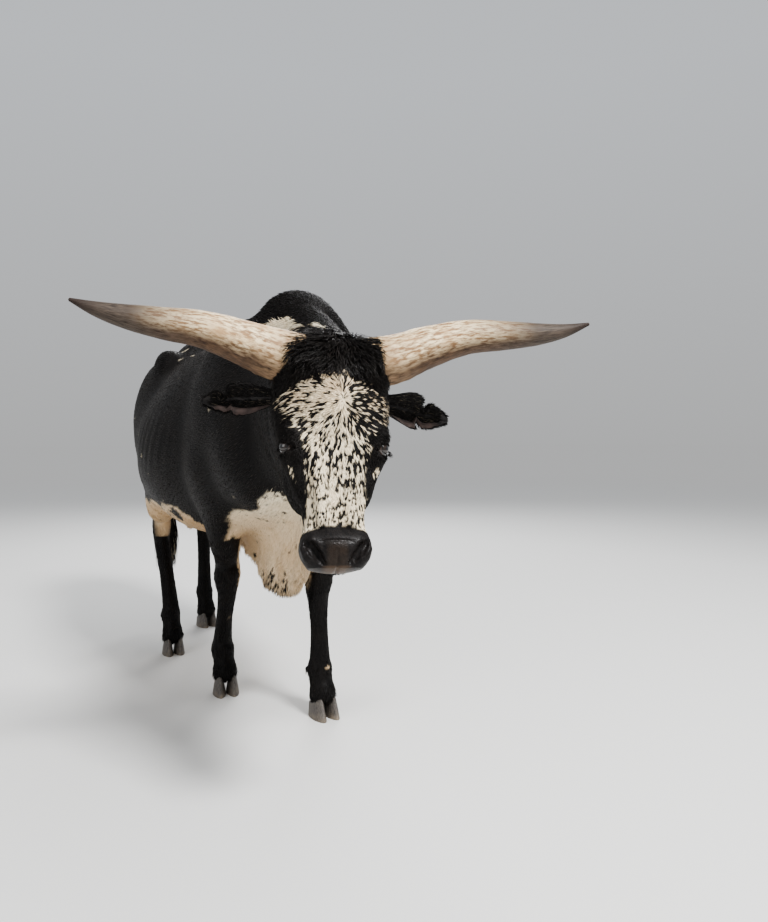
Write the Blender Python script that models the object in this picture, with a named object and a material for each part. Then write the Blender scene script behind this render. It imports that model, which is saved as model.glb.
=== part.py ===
"""Nguni bull at life size, standing in mid step with its head turned to its right.

+X is the bull's left, -Y is where the body faces and +Z is up. The hooves stand on z = 0.
The flesh is one closed surface of named masses that melt into each other, parted into nodes
by thin cuts. Horns and ears end on the head; eyes and claws sit in sockets cut to suit them.
"""
import math

import bmesh
import bpy
import numpy as np
from mathutils import Matrix, Vector

# Fit between neighbouring pieces, and the two grid steps the flesh is modelled on.
GAP = 0.0003
BODY_STEP = 0.013
HEAD_STEP = 0.0075
BODY_SHARE = 0.070
HEAD_SHARE = 0.090

# Trunk stations along the body: y = 0 lies under the hump, metres.
TRUNK_Y = (-0.33, -0.20, 0.00, 0.20, 0.45, 0.70, 0.92, 1.10, 1.22, 1.29)
BACK_Z = (0.98, 1.13, 1.245, 1.270, 1.262, 1.272, 1.300, 1.275, 1.205, 1.09)
BELLY_Z = (0.76, 0.66, 0.585, 0.555, 0.530, 0.555, 0.640, 0.760, 0.880, 0.98)
HALF_WIDTH = (0.07, 0.185, 0.235, 0.270, 0.320, 0.314, 0.258, 0.215, 0.165, 0.09)
HUMP_TOP = 1.378
HUMP_LEAN = 0.066
HUMP_RADII = (0.126, 0.182, 0.150)

# Dewlap: lower edge along the body.
DEWLAP_Y = (-0.64, -0.50, -0.38, -0.28, -0.18, -0.05, 0.08, 0.21, 0.34)
DEWLAP_Z = (0.80, 0.735, 0.640, 0.535, 0.450, 0.398, 0.412, 0.470, 0.560)

# Head, in its own frame: x to its left, y back, z up the face from the poll.
HEAD_TURN = math.radians(20.0)
FACE_SLOPE = math.radians(18.0)
HEAD_ROLL = math.radians(1.5)
POLL = (-0.172, -0.687, 1.121)
FACE_S = (-0.02, 0.05, 0.12, 0.20, 0.265, 0.33, 0.40, 0.465, 0.515)
FACE_WIDTH = (0.078, 0.114, 0.131, 0.127, 0.105, 0.086, 0.071, 0.072, 0.058)
FACE_FRONT = (0.050, 0.010, 0.000, -0.004, 0.000, 0.004, 0.006, 0.006, 0.020)
FACE_BACK = (0.120, 0.170, 0.195, 0.215, 0.228, 0.205, 0.160, 0.128, 0.100)

HORN_REACH = {1: 0.618, -1: 0.572}
HORN_T = (0.0, 0.12, 0.28, 0.45, 0.62, 0.78, 0.90, 1.0)
HORN_RADIUS = (0.067, 0.064, 0.054, 0.045, 0.038, 0.028, 0.017, 0.004)
HORN_RISE = {1: (0.0, 0.014, 0.047, 0.073, 0.080, 0.086, 0.097, 0.114),
             -1: (0.003, 0.015, 0.038, 0.058, 0.064, 0.072, 0.083, 0.097)}
EAR_LENGTH = {1: 0.262, -1: 0.238}
EAR_WIDTH = {1: 0.050, -1: 0.046}
TORN_TOP = {1: (0.74, 0.040, 0.66), -1: (0.80, 0.045, 0.86)}
TORN_LOW = {1: (0.66, 0.035, 0.58), -1: (0.70, 0.030, 0.34)}
EYE_RADIUS = 0.0195
EYE = (0.1050, 0.0315, -0.247)
EYE_AXIS = (0.80, -0.59, -0.06)
CLAW_HEIGHT = 0.066
CLAW_LENGTH = 0.108
CLAW_WIDTH = 0.044

# Ground point of each foot and the joints above it: elbow or stifle, knee or hock, fetlock.
FEET = {
    "foreleg_left": ((0.096, -0.100), (0.178, 0.030, 0.78), (0.092, -0.065, 0.435),
                     (0.095, -0.070, 0.150)),
    "foreleg_right": ((-0.105, 0.270), (-0.185, 0.130, 0.78), (-0.115, 0.232, 0.420),
                      (-0.105, 0.305, 0.150)),
    "hindleg_left": ((0.118, 1.195), (0.185, 0.900, 0.760), (0.125, 1.270, 0.530),
                     (0.118, 1.235, 0.160)),
    "hindleg_right": ((-0.138, 0.835), (-0.190, 0.810, 0.760), (-0.140, 1.020, 0.520),
                      (-0.138, 0.880, 0.160)),
}


def clear_scene():
    for item in list(bpy.data.objects):
        bpy.data.objects.remove(item, do_unlink=True)


def material(name, colour, roughness, metallic=0.0):
    made = bpy.data.materials.new(name)
    made.use_nodes = True
    shader = made.node_tree.nodes["Principled BSDF"]
    shader.inputs["Base Color"].default_value = (*colour, 1.0)
    shader.inputs["Roughness"].default_value = roughness
    shader.inputs["Metallic"].default_value = metallic
    return made


def mesh_object(name, points, faces):
    mesh = bpy.data.meshes.new(name)
    mesh.from_pydata([tuple(p) for p in points], [], [tuple(f) for f in faces])
    mesh.validate()
    made = bpy.data.objects.new(name, mesh)
    bpy.context.scene.collection.objects.link(made)
    return made


def apply_modifiers(item):
    shape = item.evaluated_get(bpy.context.evaluated_depsgraph_get())
    mesh = bpy.data.meshes.new_from_object(shape)
    item.modifiers.clear()
    item.data = mesh


def boolean(item, others, operation, solver="EXACT"):
    """One Boolean with a collection of closed meshes, which are removed afterwards."""
    group = bpy.data.collections.new("cutters")
    bpy.context.scene.collection.children.link(group)
    for other in others:
        other.hide_render = True
        other.display_type = "WIRE"
        group.objects.link(other)
    step = item.modifiers.new("cut", "BOOLEAN")
    step.operand_type = "COLLECTION"
    step.collection = group
    step.operation = operation
    step.solver = solver
    apply_modifiers(item)
    for other in others:
        bpy.data.objects.remove(other, do_unlink=True)
    bpy.data.collections.remove(group)


def keep_largest(item):
    """Keep only the closed surface that holds the most volume."""
    work = bmesh.new()
    work.from_mesh(item.data)
    bmesh.ops.remove_doubles(work, verts=work.verts, dist=1e-6)
    bmesh.ops.triangulate(work, faces=work.faces)
    work.faces.ensure_lookup_table()
    seen = set()
    islands = []
    for start in work.faces:
        if start.index in seen:
            continue
        seen.add(start.index)
        stack = [start]
        island = []
        while stack:
            face = stack.pop()
            island.append(face)
            for edge in face.edges:
                for near in edge.link_faces:
                    if near.index not in seen:
                        seen.add(near.index)
                        stack.append(near)
        islands.append(island)

    def volume(island):
        total = 0.0
        for face in island:
            a, b, c = (v.co for v in face.verts)
            total += a.dot(b.cross(c)) / 6.0
        return total

    best = max(islands, key=volume)
    kept = {face.index for face in best}
    drop = [face for face in work.faces if face.index not in kept]
    bmesh.ops.delete(work, geom=drop, context="FACES")
    loose = [v for v in work.verts if not v.link_faces]
    bmesh.ops.delete(work, geom=loose, context="VERTS")
    bmesh.ops.recalc_face_normals(work, faces=work.faces)
    work.to_mesh(item.data)
    work.free()


def mend(item):
    """Cut out each spot where the surface touches itself, and close it again."""
    work = bmesh.new()
    work.from_mesh(item.data)
    for _ in range(12):
        bad = {v for v in work.verts if not v.is_manifold}
        bad.update(v for e in work.edges if not e.is_manifold for v in e.verts)
        if not bad:
            break
        bmesh.ops.delete(work, geom=list(bad), context="VERTS")
        rim = [e for e in work.edges if e.is_boundary]
        bmesh.ops.holes_fill(work, edges=rim, sides=0)
        bmesh.ops.triangulate(work, faces=[f for f in work.faces if len(f.verts) > 4])
    bmesh.ops.recalc_face_normals(work, faces=work.faces)
    work.to_mesh(item.data)
    work.free()


def copy_of(item, name):
    made = bpy.data.objects.new(name, item.data.copy())
    bpy.context.scene.collection.objects.link(made)
    return made


def grown(item, name, by=GAP):
    """A copy pushed out along its normals by the fit."""
    made = copy_of(item, name)
    count = len(made.data.vertices)
    points = np.zeros(count * 3)
    normals = np.zeros(count * 3)
    made.data.vertices.foreach_get("co", points)
    made.data.vertices.foreach_get("normal", normals)
    made.data.vertices.foreach_set("co", points + normals * by)
    made.data.update()
    return made


def head_matrix(slope=FACE_SLOPE):
    return (Matrix.Translation(Vector(POLL)) @ Matrix.Rotation(-HEAD_TURN, 4, "Z")
            @ Matrix.Rotation(-slope, 4, "X") @ Matrix.Rotation(HEAD_ROLL, 4, "Y"))


HEAD = np.array(head_matrix())


def to_head(p):
    return (p - HEAD[:3, 3]) @ HEAD[:3, :3]


def from_head(q):
    return np.asarray(q) @ HEAD[:3, :3].T + HEAD[:3, 3]


def curve(t, knots, values):
    """Smooth line through the knots, level beyond its ends."""
    knots = np.asarray(knots, float)
    values = np.asarray(values, float)
    t = np.clip(t, knots[0], knots[-1])
    i = np.clip(np.searchsorted(knots, t) - 1, 0, len(knots) - 2)
    slope = np.gradient(values, knots)
    h = knots[i + 1] - knots[i]
    u = (t - knots[i]) / h
    return ((1 + 2 * u) * (1 - u) ** 2 * values[i] + u * (1 - u) ** 2 * h * slope[i]
            + u * u * (3 - 2 * u) * values[i + 1] + u * u * (u - 1) * h * slope[i + 1])


def blend(a, b, width):
    """Union of two masses with a fillet about as wide as width."""
    h = np.clip(0.5 + 0.5 * (b - a) / width, 0.0, 1.0)
    return b + (a - b) * h - width * h * (1.0 - h)


def carve(a, b, width):
    return -blend(-a, b, width)


def ellipsoid(p, centre, radii, tilt=0.0):
    """Mass about a centre; tilt leans its top towards the tail, radians."""
    q = p - np.asarray(centre)
    if tilt:
        c = math.cos(tilt)
        s = math.sin(tilt)
        q = np.stack([q[:, 0], c * q[:, 1] - s * q[:, 2], s * q[:, 1] + c * q[:, 2]], 1)
    r = np.asarray(radii)
    k0 = np.sqrt(np.sum((q / r) ** 2, 1))
    k1 = np.sqrt(np.sum((q / r ** 2) ** 2, 1)) + 1e-9
    return k0 * (k0 - 1.0) / k1


def both_sides(p, centre, radii, tilt=0.0):
    """The same mass on the left and on the right."""
    q = p.copy()
    q[:, 0] = np.abs(q[:, 0])
    return ellipsoid(q, centre, radii, tilt)


def limb(p, joints, side, fore):
    """Tapered mass along a line of joints, with a half-width across and one fore and aft."""
    result = np.full(len(p), 9.0)
    for i in range(len(joints) - 1):
        start = np.asarray(joints[i], float)
        line = np.asarray(joints[i + 1], float) - start
        length = np.linalg.norm(line)
        line /= length
        across = np.array([1.0, 0.0, 0.0]) - line[0] * line
        across /= np.linalg.norm(across)
        q = p - start
        t = np.clip(q @ line / length, 0.0, 1.0)
        rest = q - (t * length)[:, None] * line
        x = rest @ across
        rest = rest - x[:, None] * across
        y = np.sqrt(np.sum(rest ** 2, 1))
        rx = side[i] + (side[i + 1] - side[i]) * t
        ry = fore[i] + (fore[i + 1] - fore[i]) * t
        k0 = np.sqrt((x / rx) ** 2 + (y / ry) ** 2)
        k1 = np.sqrt((x / rx ** 2) ** 2 + (y / ry ** 2) ** 2) + 1e-9
        result = np.minimum(result, k0 * (k0 - 1.0) / k1)
    return result


def smooth_path(joints, parts=3):
    """Rounded line through the joints, parts steps to each span."""
    joints = np.asarray(joints, float)
    t = np.arange(len(joints), dtype=float)
    fine = np.linspace(0.0, len(joints) - 1.0, (len(joints) - 1) * parts + 1)
    return np.stack([curve(fine, t, joints[:, k]) for k in range(joints.shape[1])], 1)


def within(p, low, high, shape, margin=0.09):
    """Work out a mass only near its own box; further off it is merely far away."""
    low = np.asarray(low)
    high = np.asarray(high)
    away = np.maximum(np.maximum(low - p, p - high), 0.0)
    result = margin + np.sqrt(np.sum(away ** 2, 1))
    near = np.all(away <= 0.0, 1)
    if near.any():
        result[near] = shape(p[near])
    return result


def section(x, z, half, top, bottom, widest, power, low_power=None):
    """Rounded section between a top and a bottom, widest at a share of its height."""
    middle = bottom + (top - bottom) * widest
    height = np.where(z > middle, top - middle, middle - bottom)
    power = np.where(z > middle, power, power if low_power is None else low_power)
    kx = np.abs(x) / half
    kz = np.abs(z - middle) / height
    k = (kx ** power + kz ** power) ** (1.0 / power)
    return (k - 1.0) * np.minimum(half, height) * 0.9


def trunk(p):
    y = np.clip(p[:, 1], TRUNK_Y[0], TRUNK_Y[-1])
    over = np.abs(p[:, 1] - y)
    top = curve(y, TRUNK_Y, BACK_Z)
    bottom = curve(y, TRUNK_Y, BELLY_Z)
    half = curve(y, TRUNK_Y, HALF_WIDTH)
    roof = curve(y, (-0.3, 0.3, 0.6, 0.9), (2.1, 2.1, 1.80, 1.62))
    keel = curve(y, (-0.3, 0.1, 0.5, 0.8), (1.75, 1.8, 2.25, 2.25))
    widest = curve(y, (-0.3, 0.1, 0.5, 0.9), (0.52, 0.50, 0.43, 0.45))
    d = section(p[:, 0], p[:, 2], half, top, bottom, widest, roof, keel)
    return np.where(over > 0.0, np.sqrt(np.maximum(d, 0.0) ** 2 + over ** 2), d)


def neck_middle(y):
    """Sideways place of the neck's middle plane where it turns to the bull's right."""
    return curve(y, (-0.75, -0.60, -0.40, -0.20, -0.02), (-0.200, -0.148, -0.072, -0.016, 0.0))


def neck(p):
    joints = smooth_path(((0.0, 0.02, 0.95), (-0.02, -0.22, 0.955), (-0.078, -0.42, 0.970),
                          (-0.148, -0.60, 0.975)))
    share = np.linspace(0.0, 1.0, len(joints))
    side = 0.228 - 0.108 * share
    high = 0.305 - 0.140 * share
    d = limb(p, joints, side, high)
    crest = smooth_path(((0.02, -0.02, 1.29), (-0.025, -0.26, 1.205), (-0.085, -0.44, 1.135),
                         (-0.135, -0.58, 1.085)))
    return blend(d, limb(p, crest, np.linspace(0.085, 0.052, len(crest)),
                         np.linspace(0.075, 0.050, len(crest))), 0.07)


def dewlap(p):
    x, y, z = p.T
    edge = curve(y, DEWLAP_Y, DEWLAP_Z)
    up = np.clip((z - edge) / 0.22, 0.0, 1.0)
    fold = 0.010 * np.sin(22.0 * y + 9.0 * z) * (1.0 - up)
    thick = 0.019 + 0.034 * up ** 1.5
    hang = -0.022 * np.clip((y + 0.40) / 0.3, 0.0, 1.0) * (1.0 - up)
    d = np.abs(x - neck_middle(y) - fold - hang) - thick
    d = np.maximum(d, np.maximum(edge - z, z - 0.95))
    d = np.maximum(d, np.maximum(DEWLAP_Y[0] - y, y - DEWLAP_Y[-1]))
    return d


def body(p):
    """Trunk, neck, shoulders, rump and limbs."""
    d = trunk(p)
    d = blend(d, neck(p), 0.10)
    d = blend(d, within(p, (-0.35, -0.75, 0.3), (0.2, 0.6, 1.05), dewlap), 0.035)
    d = blend(d, ellipsoid(p, (HUMP_LEAN, 0.02, HUMP_TOP - HUMP_RADII[2]), HUMP_RADII), 0.07)
    d = blend(d, both_sides(p, (0.150, 0.015, 0.98), (0.100, 0.165, 0.270), -0.22), 0.11)
    d = blend(d, both_sides(p, (0.145, -0.150, 0.83), (0.090, 0.100, 0.120)), 0.10)
    d = blend(d, both_sides(p, (0.172, 0.130, 0.800), (0.080, 0.110, 0.130)), 0.08)
    d = blend(d, both_sides(p, (0.134, 0.995, 0.970), (0.104, 0.190, 0.250), 0.10), 0.09)
    d = blend(d, both_sides(p, (0.146, 0.890, 1.222), (0.042, 0.062, 0.046)), 0.06)
    d = blend(d, both_sides(p, (0.070, 1.225, 1.125), (0.045, 0.050, 0.060)), 0.05)
    d = blend(d, limb(p, ((0, 0.72, 1.235), (0, 0.95, 1.270), (0, 1.17, 1.232)),
                      (0.05, 0.06, 0.035), (0.045, 0.045, 0.04)), 0.06)
    hollow = np.exp(-np.sum(((np.abs(p[:, :1]) * [[1, 0, 0]] + p * [[0, 1, 1]]
                              - [0.30, 0.76, 1.12]) / [0.14, 0.09, 0.10]) ** 2, 1))
    d = d + 0.022 * hollow
    for name in FEET:
        d = blend(d, within(p, *leg_box(name), lambda q, n=name: leg(q, n)), 0.055)
        if name.startswith("hind"):
            d = blend(d, hamstring(p, name), 0.07)
    d = blend(d, within(p, (-0.10, 0.30, 0.38), (0.10, 0.94, 0.72), sheath), 0.06)
    d = blend(d, within(p, (-0.10, 0.84, 0.44), (0.10, 1.10, 0.90), scrotum), 0.025)
    return d


def hamstring(p, name):
    """Muscle from the pin bone down the back of the thigh into the leg above the hock."""
    foot, top, middle, low = (np.asarray(v, float) for v in FEET[name])
    side = math.copysign(1.0, foot[0])
    end = 0.38 * top + 0.62 * middle + [0.0, 0.015, 0.0]
    half = np.array((side * 0.135, 0.45 * end[1] + 0.55 * 1.185 + 0.03, 0.865))
    joints = smooth_path(((side * 0.105, 1.165, 1.080), half, end))
    side_way = np.interp(np.arange(len(joints)), (0, 3, 6), (0.075, 0.078, 0.044))
    fore_way = np.interp(np.arange(len(joints)), (0, 3, 6), (0.075, 0.085, 0.050))
    return limb(p, joints, side_way, fore_way)


def sheath(p):
    """Fold of skin under the belly, its opening pointing forward and down."""
    joints = smooth_path(((0, 0.84, 0.590), (0, 0.66, 0.535), (0, 0.52, 0.490)))
    share = np.linspace(0.0, 1.0, len(joints))
    return limb(p, joints, 0.036 - 0.008 * share, 0.048 - 0.016 * share)


def scrotum(p):
    d = both_sides(p, (0.027, 0.965, 0.570), (0.036, 0.044, 0.072))
    return blend(d, limb(p, ((0, 0.960, 0.76), (0, 0.965, 0.600)), (0.04, 0.036), (0.04, 0.036)), 0.03)


def leg_box(name):
    foot, top, middle, low = FEET[name]
    points = np.array([(*foot, 0.0), top, middle, low])
    return points.min(0) - 0.16, points.max(0) + 0.16


def leg(p, name):
    foot, top, middle, low = (np.asarray(v, float) for v in FEET[name])
    hoof = np.array([foot[0], foot[1] + 0.012, 0.074])
    if name.startswith("fore"):
        joints = np.stack([top, top * 0.45 + middle * 0.55, middle + [0, 0, 0.055], middle,
                           middle - [0, 0, 0.06], middle * 0.45 + low * 0.55, low + [0, 0, 0.03],
                           low, low * 0.5 + hoof * 0.5, hoof])
        side = (0.074, 0.054, 0.042, 0.046, 0.034, 0.029, 0.034, 0.041, 0.038, 0.043)
        fore = (0.108, 0.074, 0.047, 0.048, 0.038, 0.033, 0.038, 0.044, 0.038, 0.048)
    else:
        joints = np.stack([top, top * 0.55 + middle * 0.45, middle + [0, 0, 0.060], middle,
                           middle - [0, 0, 0.07], middle * 0.45 + low * 0.55, low + [0, 0, 0.03],
                           low, low * 0.5 + hoof * 0.5, hoof])
        side = (0.084, 0.060, 0.037, 0.040, 0.034, 0.030, 0.034, 0.040, 0.037, 0.043)
        fore = (0.140, 0.096, 0.052, 0.054, 0.043, 0.036, 0.039, 0.044, 0.038, 0.048)
    fine = smooth_path(np.column_stack([joints, side, fore]), 2)
    d = limb(p, fine[:, :3], fine[:, 3], fine[:, 4])
    if name.startswith("hind"):
        heel = middle + [0, 0.045, 0.035]
        d = blend(d, limb(p, (top * 0.45 + middle * 0.55 + [0, 0.06, 0.03], heel, middle),
                          (0.014, 0.022, 0.02), (0.02, 0.024, 0.02)), 0.03)
    for x in (-0.020, 0.020):
        d = blend(d, ellipsoid(p, low + [x, 0.045, -0.012], (0.014, 0.017, 0.020)), 0.014)
    return d


def head(p):
    q = to_head(p)
    s = -q[:, 2]
    t = np.clip(s, FACE_S[0], FACE_S[-1])
    over = np.abs(s - t)
    half = curve(t, FACE_S, FACE_WIDTH)
    front = curve(t, FACE_S, FACE_FRONT)
    back = curve(t, FACE_S, FACE_BACK)
    d = section(q[:, 0], -q[:, 1], half, -front, -back, 0.62, 2.6)
    d = np.where(over > 0.0, np.sqrt(np.maximum(d, 0.0) ** 2 + over ** 2), d)
    d = blend(d, ellipsoid(q, (0, 0.075, -0.015), (0.092, 0.070, 0.040)), 0.03)
    d = blend(d, both_sides(q, (0.078, 0.056, -0.040), (0.054, 0.068, 0.067)), 0.03)
    d = blend(d, both_sides(q, (0.094, 0.044, -0.242), (0.030, 0.046, 0.050)), 0.024)
    d = blend(d, both_sides(q, (0.098, 0.026, -0.222), (0.022, 0.026, 0.014)), 0.016)
    d = blend(d, both_sides(q, (0.070, 0.140, -0.270), (0.038, 0.072, 0.095)), 0.04)
    r = q.copy()
    r[:, 0] = np.abs(r[:, 0])
    d = blend(d, limb(r, ((0.095, 0.062, -0.25), (0.072, 0.058, -0.335)), (0.018, 0.012),
                      (0.018, 0.014)), 0.03)
    d = blend(d, ellipsoid(q, (0, 0.056, -0.477), (0.078, 0.058, 0.050)), 0.025)
    d = blend(d, both_sides(q, (0.053, 0.030, -0.475), (0.024, 0.028, 0.036)), 0.016)
    d = blend(d, ellipsoid(q, (0, 0.103, -0.472), (0.050, 0.036, 0.046)), 0.020)
    d = carve(d, both_sides(q, (0.046, -0.004, -0.485), (0.010, 0.026, 0.020), 0.5), 0.008)
    lips = 0.078 - 0.20 * np.clip(s - 0.507, -0.11, 0.02)
    line = np.exp(-((q[:, 1] - lips) / 0.0055) ** 2) * np.clip((s - 0.397) / 0.02, 0.0, 1.0)
    return d + 0.0075 * line


def bull(p):
    near_head = within(p, (-0.50, -1.00, 0.45), (0.20, -0.42, 1.25), head)
    return blend(body(p), near_head, 0.035)


def polygonise(field, low, high, step):
    """Closed quad surface where the field is zero, on a grid refined near the surface."""
    coarse = 4
    low = np.asarray(low, float)
    count = np.ceil((np.asarray(high) - low) / (step * coarse)).astype(int)
    axes = [low[k] + np.arange(count[k] + 1) * step * coarse for k in range(3)]
    nodes = np.stack(np.meshgrid(*axes, indexing="ij"), -1)
    rough = field(nodes.reshape(-1, 3)).reshape(count + 1)
    fine = [np.arange(count[k] * coarse + 1) for k in range(3)]
    nearest = [(f + coarse // 2) // coarse for f in fine]
    value = rough[np.ix_(*nearest)]
    band = np.argwhere(np.abs(value) < 1.7 * step * coarse)
    value[tuple(band.T)] = field(low + band * step)

    inside = value < 0.0
    corner = np.zeros(np.array(inside.shape) - 1, np.int8)
    for shift in np.ndindex(2, 2, 2):
        corner += inside[tuple(slice(o, n - 1 + o) for o, n in zip(shift, inside.shape))]
    mixed = (corner > 0) & (corner < 8)
    label = np.full(corner.shape, -1)
    label[mixed] = np.arange(mixed.sum())
    total = np.zeros((mixed.sum(), 3))
    weight = np.zeros(mixed.sum())
    quads = []
    for axis in range(3):
        unit = np.eye(3, dtype=int)
        lower = inside.take(range(inside.shape[axis] - 1), axis)
        upper = inside.take(range(1, inside.shape[axis]), axis)
        edge = np.argwhere(lower != upper)
        a = value[tuple(edge.T)]
        b = value[tuple((edge + unit[axis]).T)]
        point = edge + unit[axis] * (a / (a - b))[:, None]
        u = unit[(axis + 1) % 3]
        v = unit[(axis + 2) % 3]
        ring = [label[tuple((edge - i * u - j * v).T)] for i, j in ((1, 1), (0, 1), (0, 0), (1, 0))]
        for cell in ring:
            np.add.at(total, cell, point)
            np.add.at(weight, cell, 1.0)
        quad = np.stack(ring, 1)
        quad[a > 0.0] = quad[a > 0.0][:, ::-1]
        quads.append(quad)
    points = low + total / weight[:, None] * step
    return settle(field, points, step), np.concatenate(quads)


def gradient(field, points, reach=0.0012):
    parts = []
    for k in range(3):
        shift = np.zeros(3)
        shift[k] = reach
        parts.append((field(points + shift) - field(points - shift)) / (2.0 * reach))
    return np.stack(parts, 1)


def settle(field, points, step, rounds=3):
    """Draw points along the field's slope onto its surface."""
    for _ in range(rounds):
        slope = gradient(field, points)
        move = -field(points)[:, None] * slope / (np.sum(slope ** 2, 1)[:, None] + 1e-9)
        size = np.sqrt(np.sum(move ** 2, 1))[:, None]
        points = points + move * np.minimum(1.0, 0.6 * step / (size + 1e-12))
    return points


def decimate(item, share):
    mend(item)
    step = item.modifiers.new("thin", "DECIMATE")
    step.ratio = share
    apply_modifiers(item)
    mend(item)


def block(name, centre, size, turn=(0.0, 0.0, 0.0), grow=0.0, frame=None):
    """Closed box for a parting cut; grow pushes every side out."""
    half = [v / 2.0 + grow for v in size]
    points = [(x * half[0], y * half[1], z * half[2])
              for x in (-1, 1) for y in (-1, 1) for z in (-1, 1)]
    faces = ((0, 1, 3, 2), (4, 6, 7, 5), (0, 4, 5, 1), (2, 3, 7, 6), (0, 2, 6, 4), (1, 5, 7, 3))
    made = mesh_object(name, points, faces)
    spin = (Matrix.Rotation(turn[2], 4, "Z") @ Matrix.Rotation(turn[1], 4, "Y")
            @ Matrix.Rotation(turn[0], 4, "X"))
    made.data.transform((frame or Matrix()) @ Matrix.Translation(Vector(centre)) @ spin)
    return made


def part_off(rest, name, **where):
    """Part the piece inside a block from the rest, leaving the fit between them."""
    piece = copy_of(rest, name)
    boolean(piece, [block("inside", **where)], "INTERSECT")
    keep_largest(piece)
    boolean(rest, [block("outside", grow=GAP, **where)], "DIFFERENCE")
    keep_largest(rest)
    return piece


def sweep(name, path, radii, sides, flat=1.0, up=(0.0, 0.0, 1.0)):
    """Closed tube along a path; flat squeezes its section along up."""
    path = np.asarray(path, float)
    along = np.gradient(path, axis=0)
    along /= np.linalg.norm(along, axis=1)[:, None]
    points = []
    for p, d, r in zip(path, along, radii):
        across = np.cross(d, up)
        across /= np.linalg.norm(across)
        over = np.cross(across, d)
        for k in range(sides):
            angle = 2.0 * math.pi * k / sides
            points.append(p + r * (math.cos(angle) * across + flat * math.sin(angle) * over))
    faces = []
    for i in range(len(path) - 1):
        for k in range(sides):
            a = i * sides + k
            b = i * sides + (k + 1) % sides
            faces.append((a, a + sides, b + sides, b))
    faces.append(tuple(range(sides)))
    faces.append(tuple(reversed(range(len(points) - sides, len(points)))))
    made = mesh_object(name, points, faces)
    orient(made)
    return made


def orient(item):
    """Turn the faces of a closed mesh outwards, as triangles so that a grown copy matches."""
    work = bmesh.new()
    work.from_mesh(item.data)
    bmesh.ops.triangulate(work, faces=work.faces)
    bmesh.ops.recalc_face_normals(work, faces=work.faces)
    if work.calc_volume(signed=True) < 0.0:
        bmesh.ops.reverse_faces(work, faces=work.faces)
    work.to_mesh(item.data)
    work.free()


def horn(side):
    """Horn from inside the poll corner, out level, then forward and up to its tip."""
    t = np.linspace(0.0, 1.0, 17)
    out = 0.082 + (HORN_REACH[side] - 0.082) * t
    back = 0.050 - 0.050 * np.sin(math.pi * t * 0.5) - 0.045 * t ** 3
    up = -0.040 + curve(t, HORN_T, HORN_RISE[side])
    path = np.stack([side * out, back, up], 1)
    frame = np.array(head_matrix(slope=0.0))
    path = path @ frame[:3, :3].T + frame[:3, 3]
    return sweep("horn", path, curve(t, HORN_T, HORN_RADIUS), 14, flat=0.94)


def ear(side):
    """Cupped leaf, nearly a tube at its root, with a torn upper and lower edge."""
    u = np.array((0.0, 0.1, 0.2, 0.32, 0.44, 0.56, 0.64, 0.70, 0.75, 0.80, 0.86, 0.93, 1.0))
    v = np.linspace(-1.0, 1.0, 9)
    width = EAR_WIDTH[side] * curve(u, (0, 0.2, 0.5, 0.72, 0.90, 1.0),
                                    (0.78, 0.95, 1.12, 0.86, 0.46, 0.15))
    wrap = curve(u, (0, 0.25, 0.6, 1.0), (2.5, 1.7, 1.05, 0.7))
    place, spread, depth = TORN_TOP[side]
    torn_top = 1.0 - depth * np.exp(-((u - place) / spread) ** 2)
    place, spread, depth = TORN_LOW[side]
    torn_low = 1.0 - depth * np.exp(-((u - place) / spread) ** 2)
    out = np.array((side * 0.86, 0.44, 0.10 - 0.06 * side))
    out /= np.linalg.norm(out)
    face = np.array((side * 0.30, -0.90, -0.32))
    face -= face @ out * out
    face /= np.linalg.norm(face)
    high = np.cross(face, out) * side
    root = np.array((side * 0.098, 0.100, -0.103))
    shells = []
    for depth in (0.0, 1.0):
        rows = []
        for i, share in enumerate(u):
            centre = root + out * EAR_LENGTH[side] * share + (0, 0, -0.012 * share ** 2)
            radius = width[i] / wrap[i]
            thick = 0.0055 * (1.0 - 0.35 * share) * depth
            for k in v:
                angle = k * wrap[i] * (torn_top[i] if k > 0 else torn_low[i])
                place = high * math.sin(angle) - face * math.cos(angle)
                rows.append(centre + place * (radius - thick) + face * radius * 0.35)
        shells.append(rows)
    points = [from_head(p) for rows in shells for p in rows]
    n = len(v)
    m = len(u)
    size = n * m
    faces = []
    for i in range(m - 1):
        for k in range(n - 1):
            a = i * n + k
            faces.append((a, a + 1, a + n + 1, a + n))
            faces.append((size + a, size + a + n, size + a + n + 1, size + a + 1))
    rim = ([i * n for i in range(m)] + [(m - 1) * n + k for k in range(1, n)]
           + [i * n + n - 1 for i in range(m - 2, -1, -1)] + list(range(n - 2, 0, -1)))
    for a, b in zip(rim, rim[1:] + rim[:1]):
        faces.append((a, b, size + b, size + a))
    made = mesh_object("ear", points, faces)
    orient(made)
    return made


def eye_frame(side):
    """Frame at the eye with +Z out along its gaze and +X along the opening of the lids."""
    axis = Vector((side * EYE_AXIS[0], EYE_AXIS[1], EYE_AXIS[2])).normalized()
    along = Vector((side * 0.55, 0.75, 0.22))
    along = (along - along.dot(axis) * axis).normalized()
    over = axis.cross(along)
    turn = Matrix((along, over, axis)).transposed().to_4x4()
    place = Matrix.Translation(Vector((side * EYE[0], EYE[1], EYE[2])))
    return head_matrix() @ place @ turn


def eyeball(side, grow=0.0):
    work = bmesh.new()
    bmesh.ops.create_icosphere(work, subdivisions=2, radius=EYE_RADIUS + grow)
    mesh = bpy.data.meshes.new("eye")
    work.to_mesh(mesh)
    work.free()
    made = bpy.data.objects.new("eye", mesh)
    bpy.context.scene.collection.objects.link(made)
    made.data.transform(eye_frame(side))
    return made


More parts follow.
